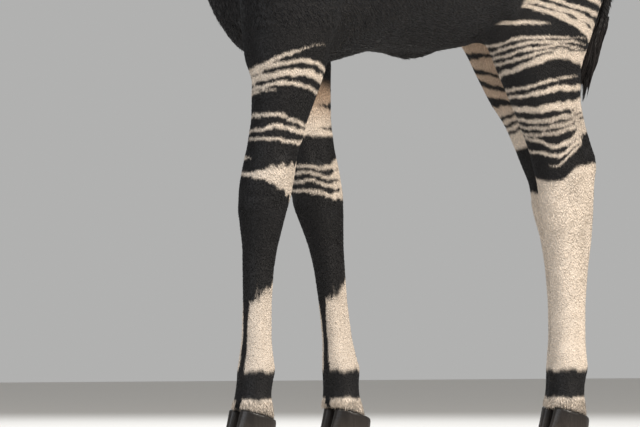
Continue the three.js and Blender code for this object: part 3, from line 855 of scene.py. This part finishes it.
# A tuft is a thin closed blade of four corners: two at its root, a ridge between them and a tip.
def makeTufts(name, place, normal, lie, length, width, lift, colour, tipColour, unwrap):
    count = len(place)
    across = np.cross(normal, lie)
    tilt = np.sin(lift)[:, None]
    tip = place + (lie * np.cos(lift)[:, None] + normal * tilt) * length[:, None]
    left = place + across * width[:, None] / 2 - normal * 0.0006
    right = place - across * width[:, None] / 2 - normal * 0.0006
    ridge = place + normal * (width * coatSet["ridge"])[:, None] + lie * length[:, None] * 0.22
    vertices = np.stack([left, right, ridge, tip], axis=1).reshape(-1, 3)
    base = np.arange(count)[:, None, None] * 4
    shape = np.array([[0, 2, 3], [2, 1, 3], [0, 1, 2], [1, 0, 3]])
    faces = (base + shape[None]).reshape(-1, 3)
    mesh = bpy.data.meshes.new(name)
    mesh.vertices.add(count * 4)
    mesh.vertices.foreach_set("co", vertices.ravel())
    mesh.loops.add(count * 12)
    mesh.loops.foreach_set("vertex_index", faces.ravel().astype(np.int32))
    mesh.polygons.add(count * 4)
    mesh.polygons.foreach_set("loop_start", np.arange(0, count * 12, 3, dtype=np.int32))
    mesh.update()
    shades = np.stack([colour, colour, (2 * colour + tipColour) / 3, tipColour], axis=1)
    setAttribute(mesh, "coatColour", shades.reshape(-1, 3))
    half = coatSet["patch"] / 2
    corners = np.array([[-half, -half], [half, -half], [0, 0], [0, half]])
    spots = (unwrap[:, None, :] + corners[None]).reshape(-1, 2)
    layer = mesh.uv_layers.new(name="OFBake")
    layer.data.foreach_set("uv", spots[faces.ravel()].astype(np.float32).ravel())
    smoothShade(mesh)
    return makeObject(name, mesh)


# Unwraps of the skin's own shape, by the angle round each part and the place along it.
def fitSquare(u, v):
    def spread(x):
        low, high = x.min(), x.max()
        return 0.004 + 0.992 * (x - low) / max(high - low, 1e-6)
    return np.stack([spread(u), spread(v)], axis=1)


def unwrapLeg(leg, p):
    return fitSquare(roundLeg(leg, p)[0], p[:, 2])


def unwrapTrunk(p):
    return fitSquare(np.arctan2(p[:, 1], p[:, 2] - 1.08), p[:, 0] + 0.2 * (p[:, 2] - 1.08))


def unwrapTail(p):
    line = originX + np.array([-0.41, -0.519, -0.512, -0.492])
    x = np.interp(-p[:, 2], [-1.262, -1.13, -1.01, -0.88], line)
    return fitSquare(np.arctan2(p[:, 1] + 0.02, p[:, 0] - x), p[:, 2])


def unwrapNeck(p):
    q = p - along(0.62, 0, 1.47)
    return fitSquare(np.arctan2(p[:, 1], q @ neckUp), q @ neckAlong)


def unwrapHead(p):
    forward, up, side = inHead(p)
    return fitSquare(np.arctan2(side, up + 0.01), forward)


def makeCoat(skin, material):
    place, normal = scatter(skin.data, densityOf)
    forward, up, side = inHead(place)
    keep = np.ones(len(place), bool)
    for s in (1, -1):
        keep &= np.linalg.norm(place - eyeCentre(s), axis=1) > 0.0275
        keep &= np.linalg.norm(place - headSpot(nostrilPlace, s), axis=1) > 0.012
    keep &= ~((forward > 0.455) & (np.abs(side) < 0.03) & (up > -0.02))
    keep &= place[:, 2] > 0.05
    place, normal = place[keep], normal[keep]
    lie = lieOf(place, normal)
    count = len(place)
    length = lengthOf(place) * draw.uniform(0.72, 1.25, count)
    leg = isLeg(place)
    head = headWeight(place)
    width = np.where(isStriped(place), coatSet["legWidth"], coatSet["bodyWidth"])
    width = width * (1 - head) + coatSet["headWidth"] * head
    width = width * draw.uniform(0.75, 1.25, count)
    lift = np.abs(draw.normal(coatSet["lift"], 0.07, count))
    shade = draw.uniform(*coatSet["lightness"], count)[:, None]
    colour = coatColour(place + lie * 0.2 * length[:, None], normal, shade=1.0) * shade
    tipColour = coatColour(place + lie * 0.85 * length[:, None], normal, shade=1.0) * shade
    names, far = nearestLeg(place)
    region = np.where(head > 0.5, "head", np.where(neckWeight(place) > 0.5, "neck", "trunk"))
    lower = leg | ((place[:, 2] < 1.0) & (far < 1.15))
    region = np.where(lower, names, region)
    region = np.where(isTail(place, 1.24) & ~leg, "tail", region)
    knee = place[:, 2] < 0.47
    middle = originX - 0.02
    groups = {
        "head": (region == "head", unwrapHead),
        "neck": (region == "neck", unwrapNeck),
        "tail": (region == "tail", unwrapTail),
    }
    for name in legSigns:
        for end, side in (("_upper", ~knee), ("_lower", knee)):
            groups[name + end] = ((region == name) & side, lambda p, leg=name: unwrapLeg(leg, p))
    for label, half in (("left", place[:, 1] >= 0), ("right", place[:, 1] < 0)):
        for end, side in (("front", place[:, 0] >= middle), ("back", place[:, 0] < middle)):
            groups["trunk_" + end + "_" + label] = ((region == "trunk") & half & side, unwrapTrunk)
    tufts = (place, normal, lie, length, width, lift, colour, tipColour)
    for name, (chosen, unwrap) in groups.items():
        c = np.nonzero(chosen)[0]
        piece = makeTufts("coat_" + name, *(part[c] for part in tufts), unwrap(place[c]))
        piece.data.materials.append(material)
        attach(piece, "root")
        print("coat", name, len(c) * 4, "triangles")


# Materials

def setInputs(node, values):
    for name, value in values.items():
        node.inputs[name].default_value = value


def addNode(tree, kind, values=None):
    made = tree.nodes.new(kind)
    setInputs(made, values or {})
    return made


# Fine streaks that run with the hair: a shade round 1 and a height.
def grainGroup():
    group = bpy.data.node_groups.new("hairGrain", "ShaderNodeTree")
    face = group.interface
    face.new_socket("Scale", in_out="INPUT", socket_type="NodeSocketFloat")
    face.new_socket("Shade", in_out="OUTPUT", socket_type="NodeSocketColor")
    face.new_socket("Height", in_out="OUTPUT", socket_type="NodeSocketFloat")
    links = group.links
    start, end = addNode(group, "NodeGroupInput"), addNode(group, "NodeGroupOutput")
    place = addNode(group, "ShaderNodeTexCoord")
    stretch = addNode(group, "ShaderNodeMapping", {"Scale": (1, 1, 0.22)})
    fine = addNode(group, "ShaderNodeTexNoise", {"Detail": 4})
    broad = addNode(group, "ShaderNodeTexNoise", {"Scale": 14})
    both = addNode(group, "ShaderNodeMath")
    both.operation = "ADD"
    spread = addNode(group, "ShaderNodeMapRange", {
        "From Min": 0.6, "From Max": 1.4, "To Min": 0.72, "To Max": 1.22})
    links.new(place.outputs["Object"], stretch.inputs["Vector"])
    links.new(stretch.outputs["Vector"], fine.inputs["Vector"])
    links.new(place.outputs["Object"], broad.inputs["Vector"])
    links.new(start.outputs["Scale"], fine.inputs["Scale"])
    links.new(fine.outputs["Fac"], both.inputs[0])
    links.new(broad.outputs["Fac"], both.inputs[1])
    links.new(both.outputs["Value"], spread.inputs["Value"])
    links.new(spread.outputs["Result"], end.inputs["Shade"])
    links.new(fine.outputs["Fac"], end.inputs["Height"])
    return group


def hairMaterial(name, colourName, roughness, sheen, scale, bump):
    material = bpy.data.materials.new(name)
    material.use_nodes = True
    tree, links = material.node_tree, material.node_tree.links
    shader = tree.nodes["Principled BSDF"]
    setInputs(shader, {
        "Roughness": roughness,
        "Specular IOR Level": 0.28,
        "Sheen Weight": sheen,
        "Sheen Roughness": 0.45,
        "Sheen Tint": (0.70, 0.80, 1.0, 1),
    })
    own = addNode(tree, "ShaderNodeAttribute")
    own.attribute_name = colourName
    grain = addNode(tree, "ShaderNodeGroup")
    grain.node_tree = hairGrain
    grain.inputs["Scale"].default_value = scale
    vary = addNode(tree, "ShaderNodeMix")
    vary.data_type = "RGBA"
    vary.blend_type = "MULTIPLY"
    vary.inputs["Factor"].default_value = 1.0
    links.new(own.outputs["Color"], vary.inputs[6])
    links.new(grain.outputs["Shade"], vary.inputs[7])
    links.new(vary.outputs[2], shader.inputs["Base Color"])
    height = addNode(tree, "ShaderNodeBump", {"Strength": bump, "Distance": 0.0006})
    links.new(grain.outputs["Height"], height.inputs["Height"])
    links.new(height.outputs["Normal"], shader.inputs["Normal"])
    return material


def plainMaterial(name, colour, roughness):
    material = bpy.data.materials.new(name)
    material.use_nodes = True
    setInputs(material.node_tree.nodes["Principled BSDF"], {
        "Base Color": (*colour, 1),
        "Roughness": roughness,
        "Coat Roughness": 0.04,
    })
    return material


hairGrain = grainGroup()

print("skin")
coat = hairMaterial("coat", "coatColour", 0.6, 0.025, 900, 0.25)
skin = makeSkin()
p, n = coordsOf(skin.data), normalsOf(skin.data)
# The skin is painted darker than the coat over it: painted shade down among the tufts.
setAttribute(skin.data, "coatColour", coatColour(p, n) * skinSet["shade"])
skin.data.materials.append(coat)
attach(skin, "root")
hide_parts(*fleshNodes)
print("skin faces", len(skin.data.polygons))

print("coat")
makeCoat(skin, coat)


# Eyes, lids and lashes

def sphereGrid(rings, sides):
    theta = np.linspace(0, math.pi, rings + 2)[1:-1]
    phi = np.linspace(0, 2 * math.pi, sides, endpoint=False)
    t, f = np.meshgrid(theta, phi, indexing="ij")
    dirs = np.stack([np.cos(t), np.sin(t) * np.cos(f), np.sin(t) * np.sin(f)], axis=-1).reshape(-1, 3)
    dirs = np.vstack([dirs, [1, 0, 0], [-1, 0, 0]])
    faces = []
    for i in range(rings - 1):
        for j in range(sides):
            k = (j + 1) % sides
            faces.append((i * sides + j, (i + 1) * sides + j, (i + 1) * sides + k, i * sides + k))
    top, bottom = rings * sides, rings * sides + 1
    for j in range(sides):
        k = (j + 1) % sides
        faces.append((top, j, k))
        faces.append((bottom, (rings - 1) * sides + k, (rings - 1) * sides + j))
    return dirs, faces


def meshPiece(name, vertices, faces):
    mesh = bpy.data.meshes.new(name)
    mesh.from_pydata([tuple(v) for v in vertices], [], faces)
    smoothShade(mesh)
    work = bmesh.new()
    work.from_mesh(mesh)
    bmesh.ops.recalc_face_normals(work, faces=work.faces)
    work.to_mesh(mesh)
    work.free()
    return makeObject(name, mesh)


def makeEye(label, side):
    dirs, faces = sphereGrid(46, 72)
    forward, rise, out = eyeAxes(side)
    fromAxis = np.arccos(np.clip(dirs[:, 0], -1, 1))
    bulge = 0.0009 * (1 - smoothStep(fromAxis, 0.35, 0.62))
    size = (eyeSet["radius"] - 0.0010 + bulge)[:, None]
    p = eyeCentre(side) + size * (dirs[:, :1] * out + dirs[:, 1:2] * forward + dirs[:, 2:] * rise)
    eye = meshPiece("eyeball_" + label, p, faces)
    across, up = fromAxis * dirs[:, 1], fromAxis * dirs[:, 2]
    norm = np.maximum(np.hypot(dirs[:, 1], dirs[:, 2]), 1e-6)
    across, up = across / norm, up / norm
    fromPupil = np.hypot(across / eyeSet["pupilWide"], up / eyeSet["pupilHigh"])
    pupil = 1 - smoothStep(fromPupil, 0.92, 1.05)
    streak = 0.8 + 0.35 * np.sin(np.arctan2(up, across) * 37) * np.sin(fromAxis * 40)
    iris = np.array(eyeSet["iris"]) * streak[:, None]
    white = smoothStep(fromAxis, 0.62, 0.70)
    colour = mix(iris, np.tile(eyeSet["white"], (len(p), 1)), white)
    colour = mix(colour, np.array(eyeSet["pupil"]), pupil)
    setAttribute(eye.data, "eyeColour", colour)
    eye.data.materials.append(eyeMaterial)
    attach(eye, "root")
    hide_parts("eye_" + label)


lidSet = {"steps": 120, "sides": 12, "thick": 0.0017, "upperThicker": 0.0011}


# The rim of each lid, a soft closed ring round the almond that thins at its corners.
def makeLids(label, side):
    forward, rise, out = eyeAxes(side)
    steps, sides = lidSet["steps"], lidSet["sides"]
    vertices, faces = [], []
    for i in range(steps):
        t = 2 * math.pi * i / steps
        f = 0.0216 * math.cos(t)
        upper, lower = lidEdges(np.array([f]))
        r = float(upper[0] if math.sin(t) >= 0 else lower[0])
        depth = math.sqrt(max(eyeSet["radius"] ** 2 - f * f - r * r, 0))
        spot = out * depth + forward * f + rise * r
        straight = unit(spot)
        away = forward * (0.55 * math.cos(t)) + rise * math.sin(t)
        away = unit(away - straight * (away @ straight))
        thick = lidSet["thick"] + lidSet["upperThicker"] * max(math.sin(t), 0)
        for j in range(sides):
            a = 2 * math.pi * j / sides
            v = straight * (0.0003 + math.cos(a) * thick * 0.8)
            v = v + away * (0.0016 + math.sin(a) * thick * 1.5)
            vertices.append(eyeCentre(side) + spot + v)
            nextI, nextJ = (i + 1) % steps, (j + 1) % sides
            faces.append((i * sides + j, i * sides + nextJ, nextI * sides + nextJ, nextI * sides + j))
    lids = meshPiece("lids_" + label, vertices, faces)
    lids.data.materials.append(lidMaterial)
    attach(lids, "root")


strandSides = 3


# A closed tapered hair along a curve of points.
def strandShape(curve, radius, vertices, faces):
    base, steps, sides = len(vertices), len(curve), strandSides
    way = np.gradient(curve, axis=0)
    way /= np.linalg.norm(way, axis=1)[:, None]
    first = np.cross(way, np.array([0.31, 0.92, 0.24]))
    first /= np.linalg.norm(first, axis=1)[:, None]
    second = np.cross(way, first)
    for i in range(steps - 1):
        size = radius[i]
        for j in range(sides):
            a = 2 * math.pi * j / sides
            vertices.append(curve[i] + size * (math.cos(a) * first[i] + math.sin(a) * second[i]))
    vertices.append(curve[-1])
    vertices.append(curve[0])
    tip, root = len(vertices) - 2, len(vertices) - 1
    for i in range(steps - 2):
        for j in range(sides):
            k = (j + 1) % sides
            a, b = base + i * sides, base + (i + 1) * sides
            faces.append((a + j, a + k, b + k, b + j))
    last = base + (steps - 2) * sides
    for j in range(sides):
        k = (j + 1) % sides
        faces.append((last + j, last + k, tip))
        faces.append((base + k, base + j, root))


lashSet = {"count": 64, "length": 0.0125, "radius": 0.00028}


def makeLashes(label, side):
    forward, rise, out = eyeAxes(side)
    vertices, faces = [], []
    t = np.linspace(0, 1, 5)
    for i in range(lashSet["count"]):
        f = 0.0205 * (2 * (i + 0.5) / lashSet["count"] - 1) + draw.normal(0, 0.0004)
        r = float(lidEdges(np.array([f]))[0][0]) + 0.0012
        depth = math.sqrt(max(eyeSet["radius"] ** 2 - f * f - r * r, 0))
        spot = eyeCentre(side) + forward * f + rise * r + out * depth
        toCorner = f / eyeSet["halfWidth"]
        size = lashSet["length"] * draw.uniform(0.75, 1.15) * (1 - 0.4 * toCorner ** 2)
        lean = forward * toCorner * 0.6 + draw.normal(0, 0.08, 3)
        curl = rise * (-0.55 * t[:, None] + 0.75 * t[:, None] * t[:, None])
        curve = spot + size * (t[:, None] * (out + lean) * 0.9 + curl)
        strandShape(curve, lashSet["radius"] * (1 - t) + 0.00006, vertices, faces)
    lashes = meshPiece("lashes_" + label, vertices, faces)
    lashes.data.materials.append(lidMaterial)
    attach(lashes, "root")


# Ears, joined to the skin, with their own short coat

earSet = {
    "height": 0.252,
    "voxel": 0.0023,
    "hairsPerSquareMetre": 120000.0,
    "hairLength": 0.0056,
    "fringeLength": 0.013,
    "brown": (0.034, 0.018, 0.013),
    "dark": (0.013, 0.0095, 0.0085),
    "pale": (0.34, 0.29, 0.24),
}


def earAxes(side):
    rise = unit(np.array([-0.3, side * 0.66, 0.7]))
    facing = np.array([0.86, side * 0.5, 0])
    facing = unit(facing - rise * (facing @ rise))
    return rise, facing, np.cross(rise, facing)


def earMeasures(side, p):
    rise, facing, across = earAxes(side)
    q = p - headSpot(earPlace, side)
    return (q @ rise) / earSet["height"], q @ facing, q @ across


def makeEar(label, side):
    ear = joinedNodes("skin_ear_" + label, ["ear_" + label])
    remesh(ear, earSet["voxel"])
    rounded(ear, 5)
    up = earMeasures(side, coordsOf(ear.data))[0]
    rounded(ear, 60, 1 - smoothStep(up, 0.12, 0.30))
    p = coordsOf(ear.data)
    rise = earAxes(side)[0]
    p = p - rise * (0.007 * (1 - smoothStep(up, 0.03, 0.16)))[:, None]
    moveTo(ear.data, p)
    n = normalsOf(ear.data)
    moveTo(ear.data, p - n * 0.0006)
    # The ear's skin is painted darker than its hairs: painted shade down among them.
    setAttribute(ear.data, "coatColour", earColour(side, p, n) * 0.85)
    ear.data.materials.append(coat)
    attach(ear, "root")
    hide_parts("ear_" + label)
    earCoat(label, side, ear)


def inCup(side, n):
    return smoothStep(n @ earAxes(side)[1], 0.05, 0.45)


def earColour(side, p, n):
    up, _, across = earMeasures(side, p)
    inside = inCup(side, n)
    dark, brown = np.array(earSet["dark"]), np.array(earSet["brown"])
    colour = mix(np.tile(brown, (len(p), 1)), dark, smoothStep(up, 0.15, 0.75))
    colour = mix(colour, dark * 1.3, inside)
    edge = smoothStep(np.abs(across), 0.026, 0.052) * (1 - smoothStep(up, 0.72, 0.92))
    base = smoothStep(up, 0.20, 0.28) * (1 - smoothStep(up, 0.30, 0.48))
    pale = inside * np.clip(edge * smoothStep(up, 0.08, 0.2) + 0.45 * base, 0, 1) * 0.85
    return mix(colour, np.array(earSet["pale"]), pale)


def earCoat(label, side, ear):
    rise, across = earAxes(side)[0], earAxes(side)[2]
    place, normal = scatter(ear.data, lambda p: np.full(len(p), earSet["hairsPerSquareMetre"]))
    inside = inCup(side, normal)
    up, _, wide = earMeasures(side, place)
    fringe = inside * smoothStep(np.abs(wide), 0.024, 0.05)
    lie = np.tile(rise, (len(place), 1)) - (fringe * np.sign(wide) * 0.45)[:, None] * across
    lie = laidFlat(lie + draw.normal(0, 0.12, lie.shape), normal)
    length = earSet["hairLength"] + earSet["fringeLength"] * fringe * (1 - up)
    length = length * draw.uniform(0.6, 1.3, len(place))
    width = np.where(fringe > 0.3, 0.0008, 0.0013)
    lift = np.abs(draw.normal(0.12, 0.06, len(place))) + 0.10 * fringe
    colour = earColour(side, place, normal) * draw.uniform(0.75, 1.25, len(place))[:, None]
    unwrap = fitSquare(wide + np.where(inside > 0.5, 0.16, 0), up)
    piece = makeTufts("coat_ear_" + label, place, normal, lie, length, width, lift,
                      colour, colour, unwrap)
    piece.data.materials.append(coat)
    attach(piece, "root")


# Horns: covered in skin and hair, with a bare worn tip

hornPlace = (0.102, 0.078, 0.046)
hornSet = {
    "height": 0.122,
    "voxel": 0.0016,
    "hairsPerSquareMetre": 260000.0,
    "hairLength": 0.0068,
    "hairWidth": 0.0012,
    "hairTop": 0.83,  # the share of the height that is covered
    "hair": (0.022, 0.012, 0.009),
    "bare": (0.42, 0.34, 0.25),
}


def makeHorn(label, side):
    rise = unit(np.array([0.02, side * 0.13, 0.99]))
    horn = joinedNodes("hornBone_" + label, ["horn_" + label])
    remesh(horn, hornSet["voxel"])
    rounded(horn, 6)
    p = coordsOf(horn.data)
    root = headSpot(hornPlace, side)
    up = ((p - root) @ rise) / hornSet["height"]
    p = p - rise * (0.006 * (1 - smoothStep(up, 0.15, 0.35)))[:, None]
    moveTo(horn.data, p)
    hair, bare = np.array(hornSet["hair"]), np.array(hornSet["bare"])
    tip = smoothStep(up, 0.80, 0.86)
    setAttribute(horn.data, "coatColour", mix(np.tile(hair, (len(p), 1)), bare, tip))
    horn.data.materials.append(hornMaterial)
    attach(horn, "root")
    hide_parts("horn_" + label)

    def hairs(q):
        return hornSet["hairsPerSquareMetre"] * (((q - root) @ rise) / hornSet["height"] < hornSet["hairTop"])

    place, normal = scatter(horn.data, hairs)
    count = len(place)
    lie = laidFlat(np.tile(rise, (count, 1)) + draw.normal(0, 0.12, (count, 3)), normal)
    length = hornSet["hairLength"] * draw.uniform(0.7, 1.3, count)
    colour = np.tile(hair, (count, 1)) * draw.uniform(0.6, 1.6, count)[:, None]
    unwrap = fitSquare(np.arctan2(place[:, 1] - root[1], place[:, 0] - root[0]), place[:, 2])
    width = np.full(count, hornSet["hairWidth"])
    lift = np.abs(draw.normal(0.14, 0.06, count))
    piece = makeTufts("coat_horn_" + label, place, normal, lie, length, width, lift,
                      colour, colour, unwrap)
    piece.data.materials.append(coat)
    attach(piece, "root")


# Hooves: dark horn with growth rings

hoofSet = {
    "voxel": 0.0024,
    "rounding": 16,
    "ringDepth": 0.00014,
    "floorBand": 0.0016,  # what lies lower is set flat on the floor
    "worn": (0.052, 0.041, 0.033),
    "dark": (0.017, 0.014, 0.0125),
}


# The toe curves to a point towards the cleft, and the heel runs in under the foot.
def shapedClaw(p, leg, claw):
    x = p[:, 0] - footOf(leg)
    side = legSigns[leg] * (1 if claw == "outer" else -1)
    middle = legSigns[leg] * 0.085 + 0.0236 * side
    y = (p[:, 1] - middle) * side
    toe = smoothStep(x, 0.012, 0.075)
    y = y * (1 - 0.36 * toe) - 0.005 * toe
    heel = smoothStep(-x, 0.012, 0.048)
    low = 1 - smoothStep(p[:, 2], 0.0, 0.055)
    shaped = p.copy()
    shaped[:, 0] += heel * (0.002 + 0.011 * low) - 0.004 * toe * smoothStep(p[:, 2], 0.01, 0.03)
    shaped[:, 1] = middle + side * y * (1 + 0.03 * low - 0.10 * heel)
    return shaped


def makeHooves():
    for leg in legSigns:
        for claw in ("outer", "inner"):
            node = leg + "_hoof_" + claw
            hoof = joinedNodes("claw_" + leg + "_" + claw, [node])
            remesh(hoof, hoofSet["voxel"])
            rounded(hoof, hoofSet["rounding"])
            p = shapedClaw(coordsOf(hoof.data), leg, claw)
            moveTo(hoof.data, p)
            n = normalsOf(hoof.data)
            sloped = p[:, 2] * 0.9 - 0.28 * (p[:, 0] - footOf(leg))
            ring = hoofSet["ringDepth"] * np.sin(sloped * 900) * (np.abs(n[:, 2]) < 0.7)
            p = p + n * (ring - 0.0004)[:, None]
            p[:, 2] = np.where(p[:, 2] < hoofSet["floorBand"], 0.0, p[:, 2])
            moveTo(hoof.data, p)
            up = smoothStep(p[:, 2], 0.0, 0.07)
            streak = 0.85 + 0.2 * np.sin(p[:, 0] * 900) * np.sin(p[:, 1] * 1100)
            horn = mix(np.tile(hoofSet["worn"], (len(p), 1)), np.array(hoofSet["dark"]), up)
            setAttribute(hoof.data, "coatColour", horn * streak[:, None])
            hoof.data.materials.append(hoofMaterial)
            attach(hoof, "root")
            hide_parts(node)


# The tail's tuft: long strands gathered into locks

tuftSet = {
    "locks": 46,
    "strands": 30,
    "steps": 8,
    "top": 0.905,
    "strandRadius": 0.0011,
    "colour": (0.0105, 0.0085, 0.0085),
    # its middle line
    "line": [(-0.515, -0.018, 1.05), (-0.512, -0.024, 1.01), (-0.492, -0.042, 0.88),
             (-0.478, -0.056, 0.77), (-0.474, -0.060, 0.715)],
}


def makeTailTuft():
    rows = np.array(tuftSet["line"])
    vertices, faces = [], []

    def middle(z):
        x = np.interp(-z, -rows[:, 2], rows[:, 0])
        y = np.interp(-z, -rows[:, 2], rows[:, 1])
        lean = 0.009 * smoothStep(-z, -0.90, -0.84)
        return np.stack([x + originX + lean, y - lean, z], axis=1)

    for k in range(tuftSet["locks"]):
        turn = 2.4 * k
        top = draw.uniform(0.862, tuftSet["top"])
        bottom = draw.uniform(0.722, 0.775) if k % 3 else draw.uniform(0.775, 0.82)
        spread = draw.uniform(0.25, 1.0)
        curl = draw.normal(0, 0.006, 2)
        for _ in range(tuftSet["strands"]):
            s = np.linspace(0, 1, tuftSet["steps"])
            start = top + draw.normal(0, 0.008)
            end = bottom + draw.uniform(-0.004, 0.02)
            z = start + (end - start) * s
            own = turn + draw.normal(0, 0.30) * (1 - 0.75 * s)
            reach = 0.009 + spread * 0.015 * np.sin(np.clip(s * 1.25, 0, 1) * math.pi * 0.62)
            reach = reach * (1 - 0.45 * s ** 3) + draw.normal(0, 0.0016) * (1 - s)
            curve = middle(z)
            curve[:, 0] += reach * np.cos(own) + curl[0] * s * s
            curve[:, 1] += reach * np.sin(own) + curl[1] * s * s
            radius = tuftSet["strandRadius"] * (1 - s) ** 0.6 * draw.uniform(0.7, 1.2) + 0.0002
            strandShape(curve, radius, vertices, faces)
    tuft = meshPiece("tailHair", vertices, faces)
    count = len(tuft.data.vertices)
    perStrand = strandSides * (tuftSet["steps"] - 1) + 2
    shade = np.repeat(draw.uniform(0.5, 1.6, count // perStrand + 1), perStrand)[:count]
    setAttribute(tuft.data, "coatColour", np.array(tuftSet["colour"]) * shade[:, None])
    tuft.data.materials.append(tailMaterial)
    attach(tuft, "root")
    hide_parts("tail_tuft")
    print("tail tuft faces", len(tuft.data.polygons))


print("eyes, ears, horns, hooves and tail")
eyeMaterial = hairMaterial("eye", "eyeColour", 0.12, 0.0, 60, 0.0)
setInputs(eyeMaterial.node_tree.nodes["Principled BSDF"], {"Coat Weight": 1.0, "Coat Roughness": 0.02})
lidMaterial = plainMaterial("lid", (0.010, 0.0085, 0.0085), 0.38)
hornMaterial = hairMaterial("horn", "coatColour", 0.42, 0.0, 700, 0.35)
hoofMaterial = hairMaterial("hoof", "coatColour", 0.36, 0.0, 500, 0.5)
tailMaterial = hairMaterial("tail", "coatColour", 0.36, 0.04, 600, 0.1)
for sideName, sideSign in (("left", 1), ("right", -1)):
    makeEye(sideName, sideSign)
    makeLids(sideName, sideSign)
    makeLashes(sideName, sideSign)
    makeEar(sideName, sideSign)
    makeHorn(sideName, sideSign)
makeHooves()
makeTailTuft()

print("camera and light")

# The photo's camera: ahead of the animal's left broadside, level, at knee height.
cameraSet = {
    "aheadOfBroadside": math.radians(38),
    "distance": 40.0,  # far off, as the photo was measured without perspective
    "height": 0.485,
    "aimBetweenFeet": 0.707,  # 0 at the left hind foot, 1 at the left forefoot
    "pixelsPerMetre": 475,
    "frameWidth": 640,
    "sensor": 36.0,
}


def aimAt(thing, target):
    way = Vector(target) - thing.location
    thing.rotation_euler = way.to_track_quat("-Z", "Y").to_euler()


def addCamera():
    s = cameraSet
    near = footOf("hindleg_left") + s["aimBetweenFeet"] * (footOf("foreleg_left") - footOf("hindleg_left"))
    target = np.array([near, 0, s["height"]])
    back = np.array([math.sin(s["aheadOfBroadside"]), math.cos(s["aheadOfBroadside"]), 0])
    lens = bpy.data.cameras.new("camera")
    lens.sensor_width = s["sensor"]
    lens.lens = s["pixelsPerMetre"] * s["distance"] / s["frameWidth"] * s["sensor"]
    lens.clip_end = 160
    camera = makeObject("camera", lens)
    camera.location = Vector(target + back * s["distance"])
    aimAt(camera, target)
    bpy.context.scene.camera = camera


def addLight(name, place, target, power, size, colour):
    lamp = bpy.data.lights.new(name, "AREA")
    lamp.energy = power
    lamp.size = size
    lamp.color = colour
    light = makeObject(name, lamp)
    light.location = Vector(place)
    aimAt(light, target)


def addFloor():
    mesh = bpy.data.meshes.new("floor")
    r = 12.0  # half its side
    mesh.from_pydata([(-r, -r, 0), (r, -r, 0), (r, r, 0), (-r, r, 0)], [], [(0, 1, 2, 3)])
    floor = makeObject("floor", mesh)
    mesh.materials.append(plainMaterial("floor", (0.62, 0.60, 0.57), 0.7))


# For each light, its place from the animal's middle, watts, size and colour.
lightSet = {
    "key": ((-1.0, 4.2, 3.4), 330, 1.6, (1.0, 0.93, 0.84)),
    "fill": ((4.5, 1.8, 1.8), 90, 2.5, (0.90, 0.94, 1.0)),
    "rim": ((-2.0, -3.6, 3.4), 170, 2.0, (0.92, 0.96, 1.0)),
}

addCamera()
addFloor()
for lightName, (place, power, size, tint) in lightSet.items():
    addLight(lightName, along(*place), (originX, 0, 0.8), power, size, tint)
world = bpy.data.worlds.new("world")
bpy.context.scene.world = world
world.use_nodes = True
setInputs(world.node_tree.nodes["Background"], {"Color": (0.88, 0.88, 0.87, 1), "Strength": 0.5})
bpy.context.scene.view_settings.view_transform = "Standard"
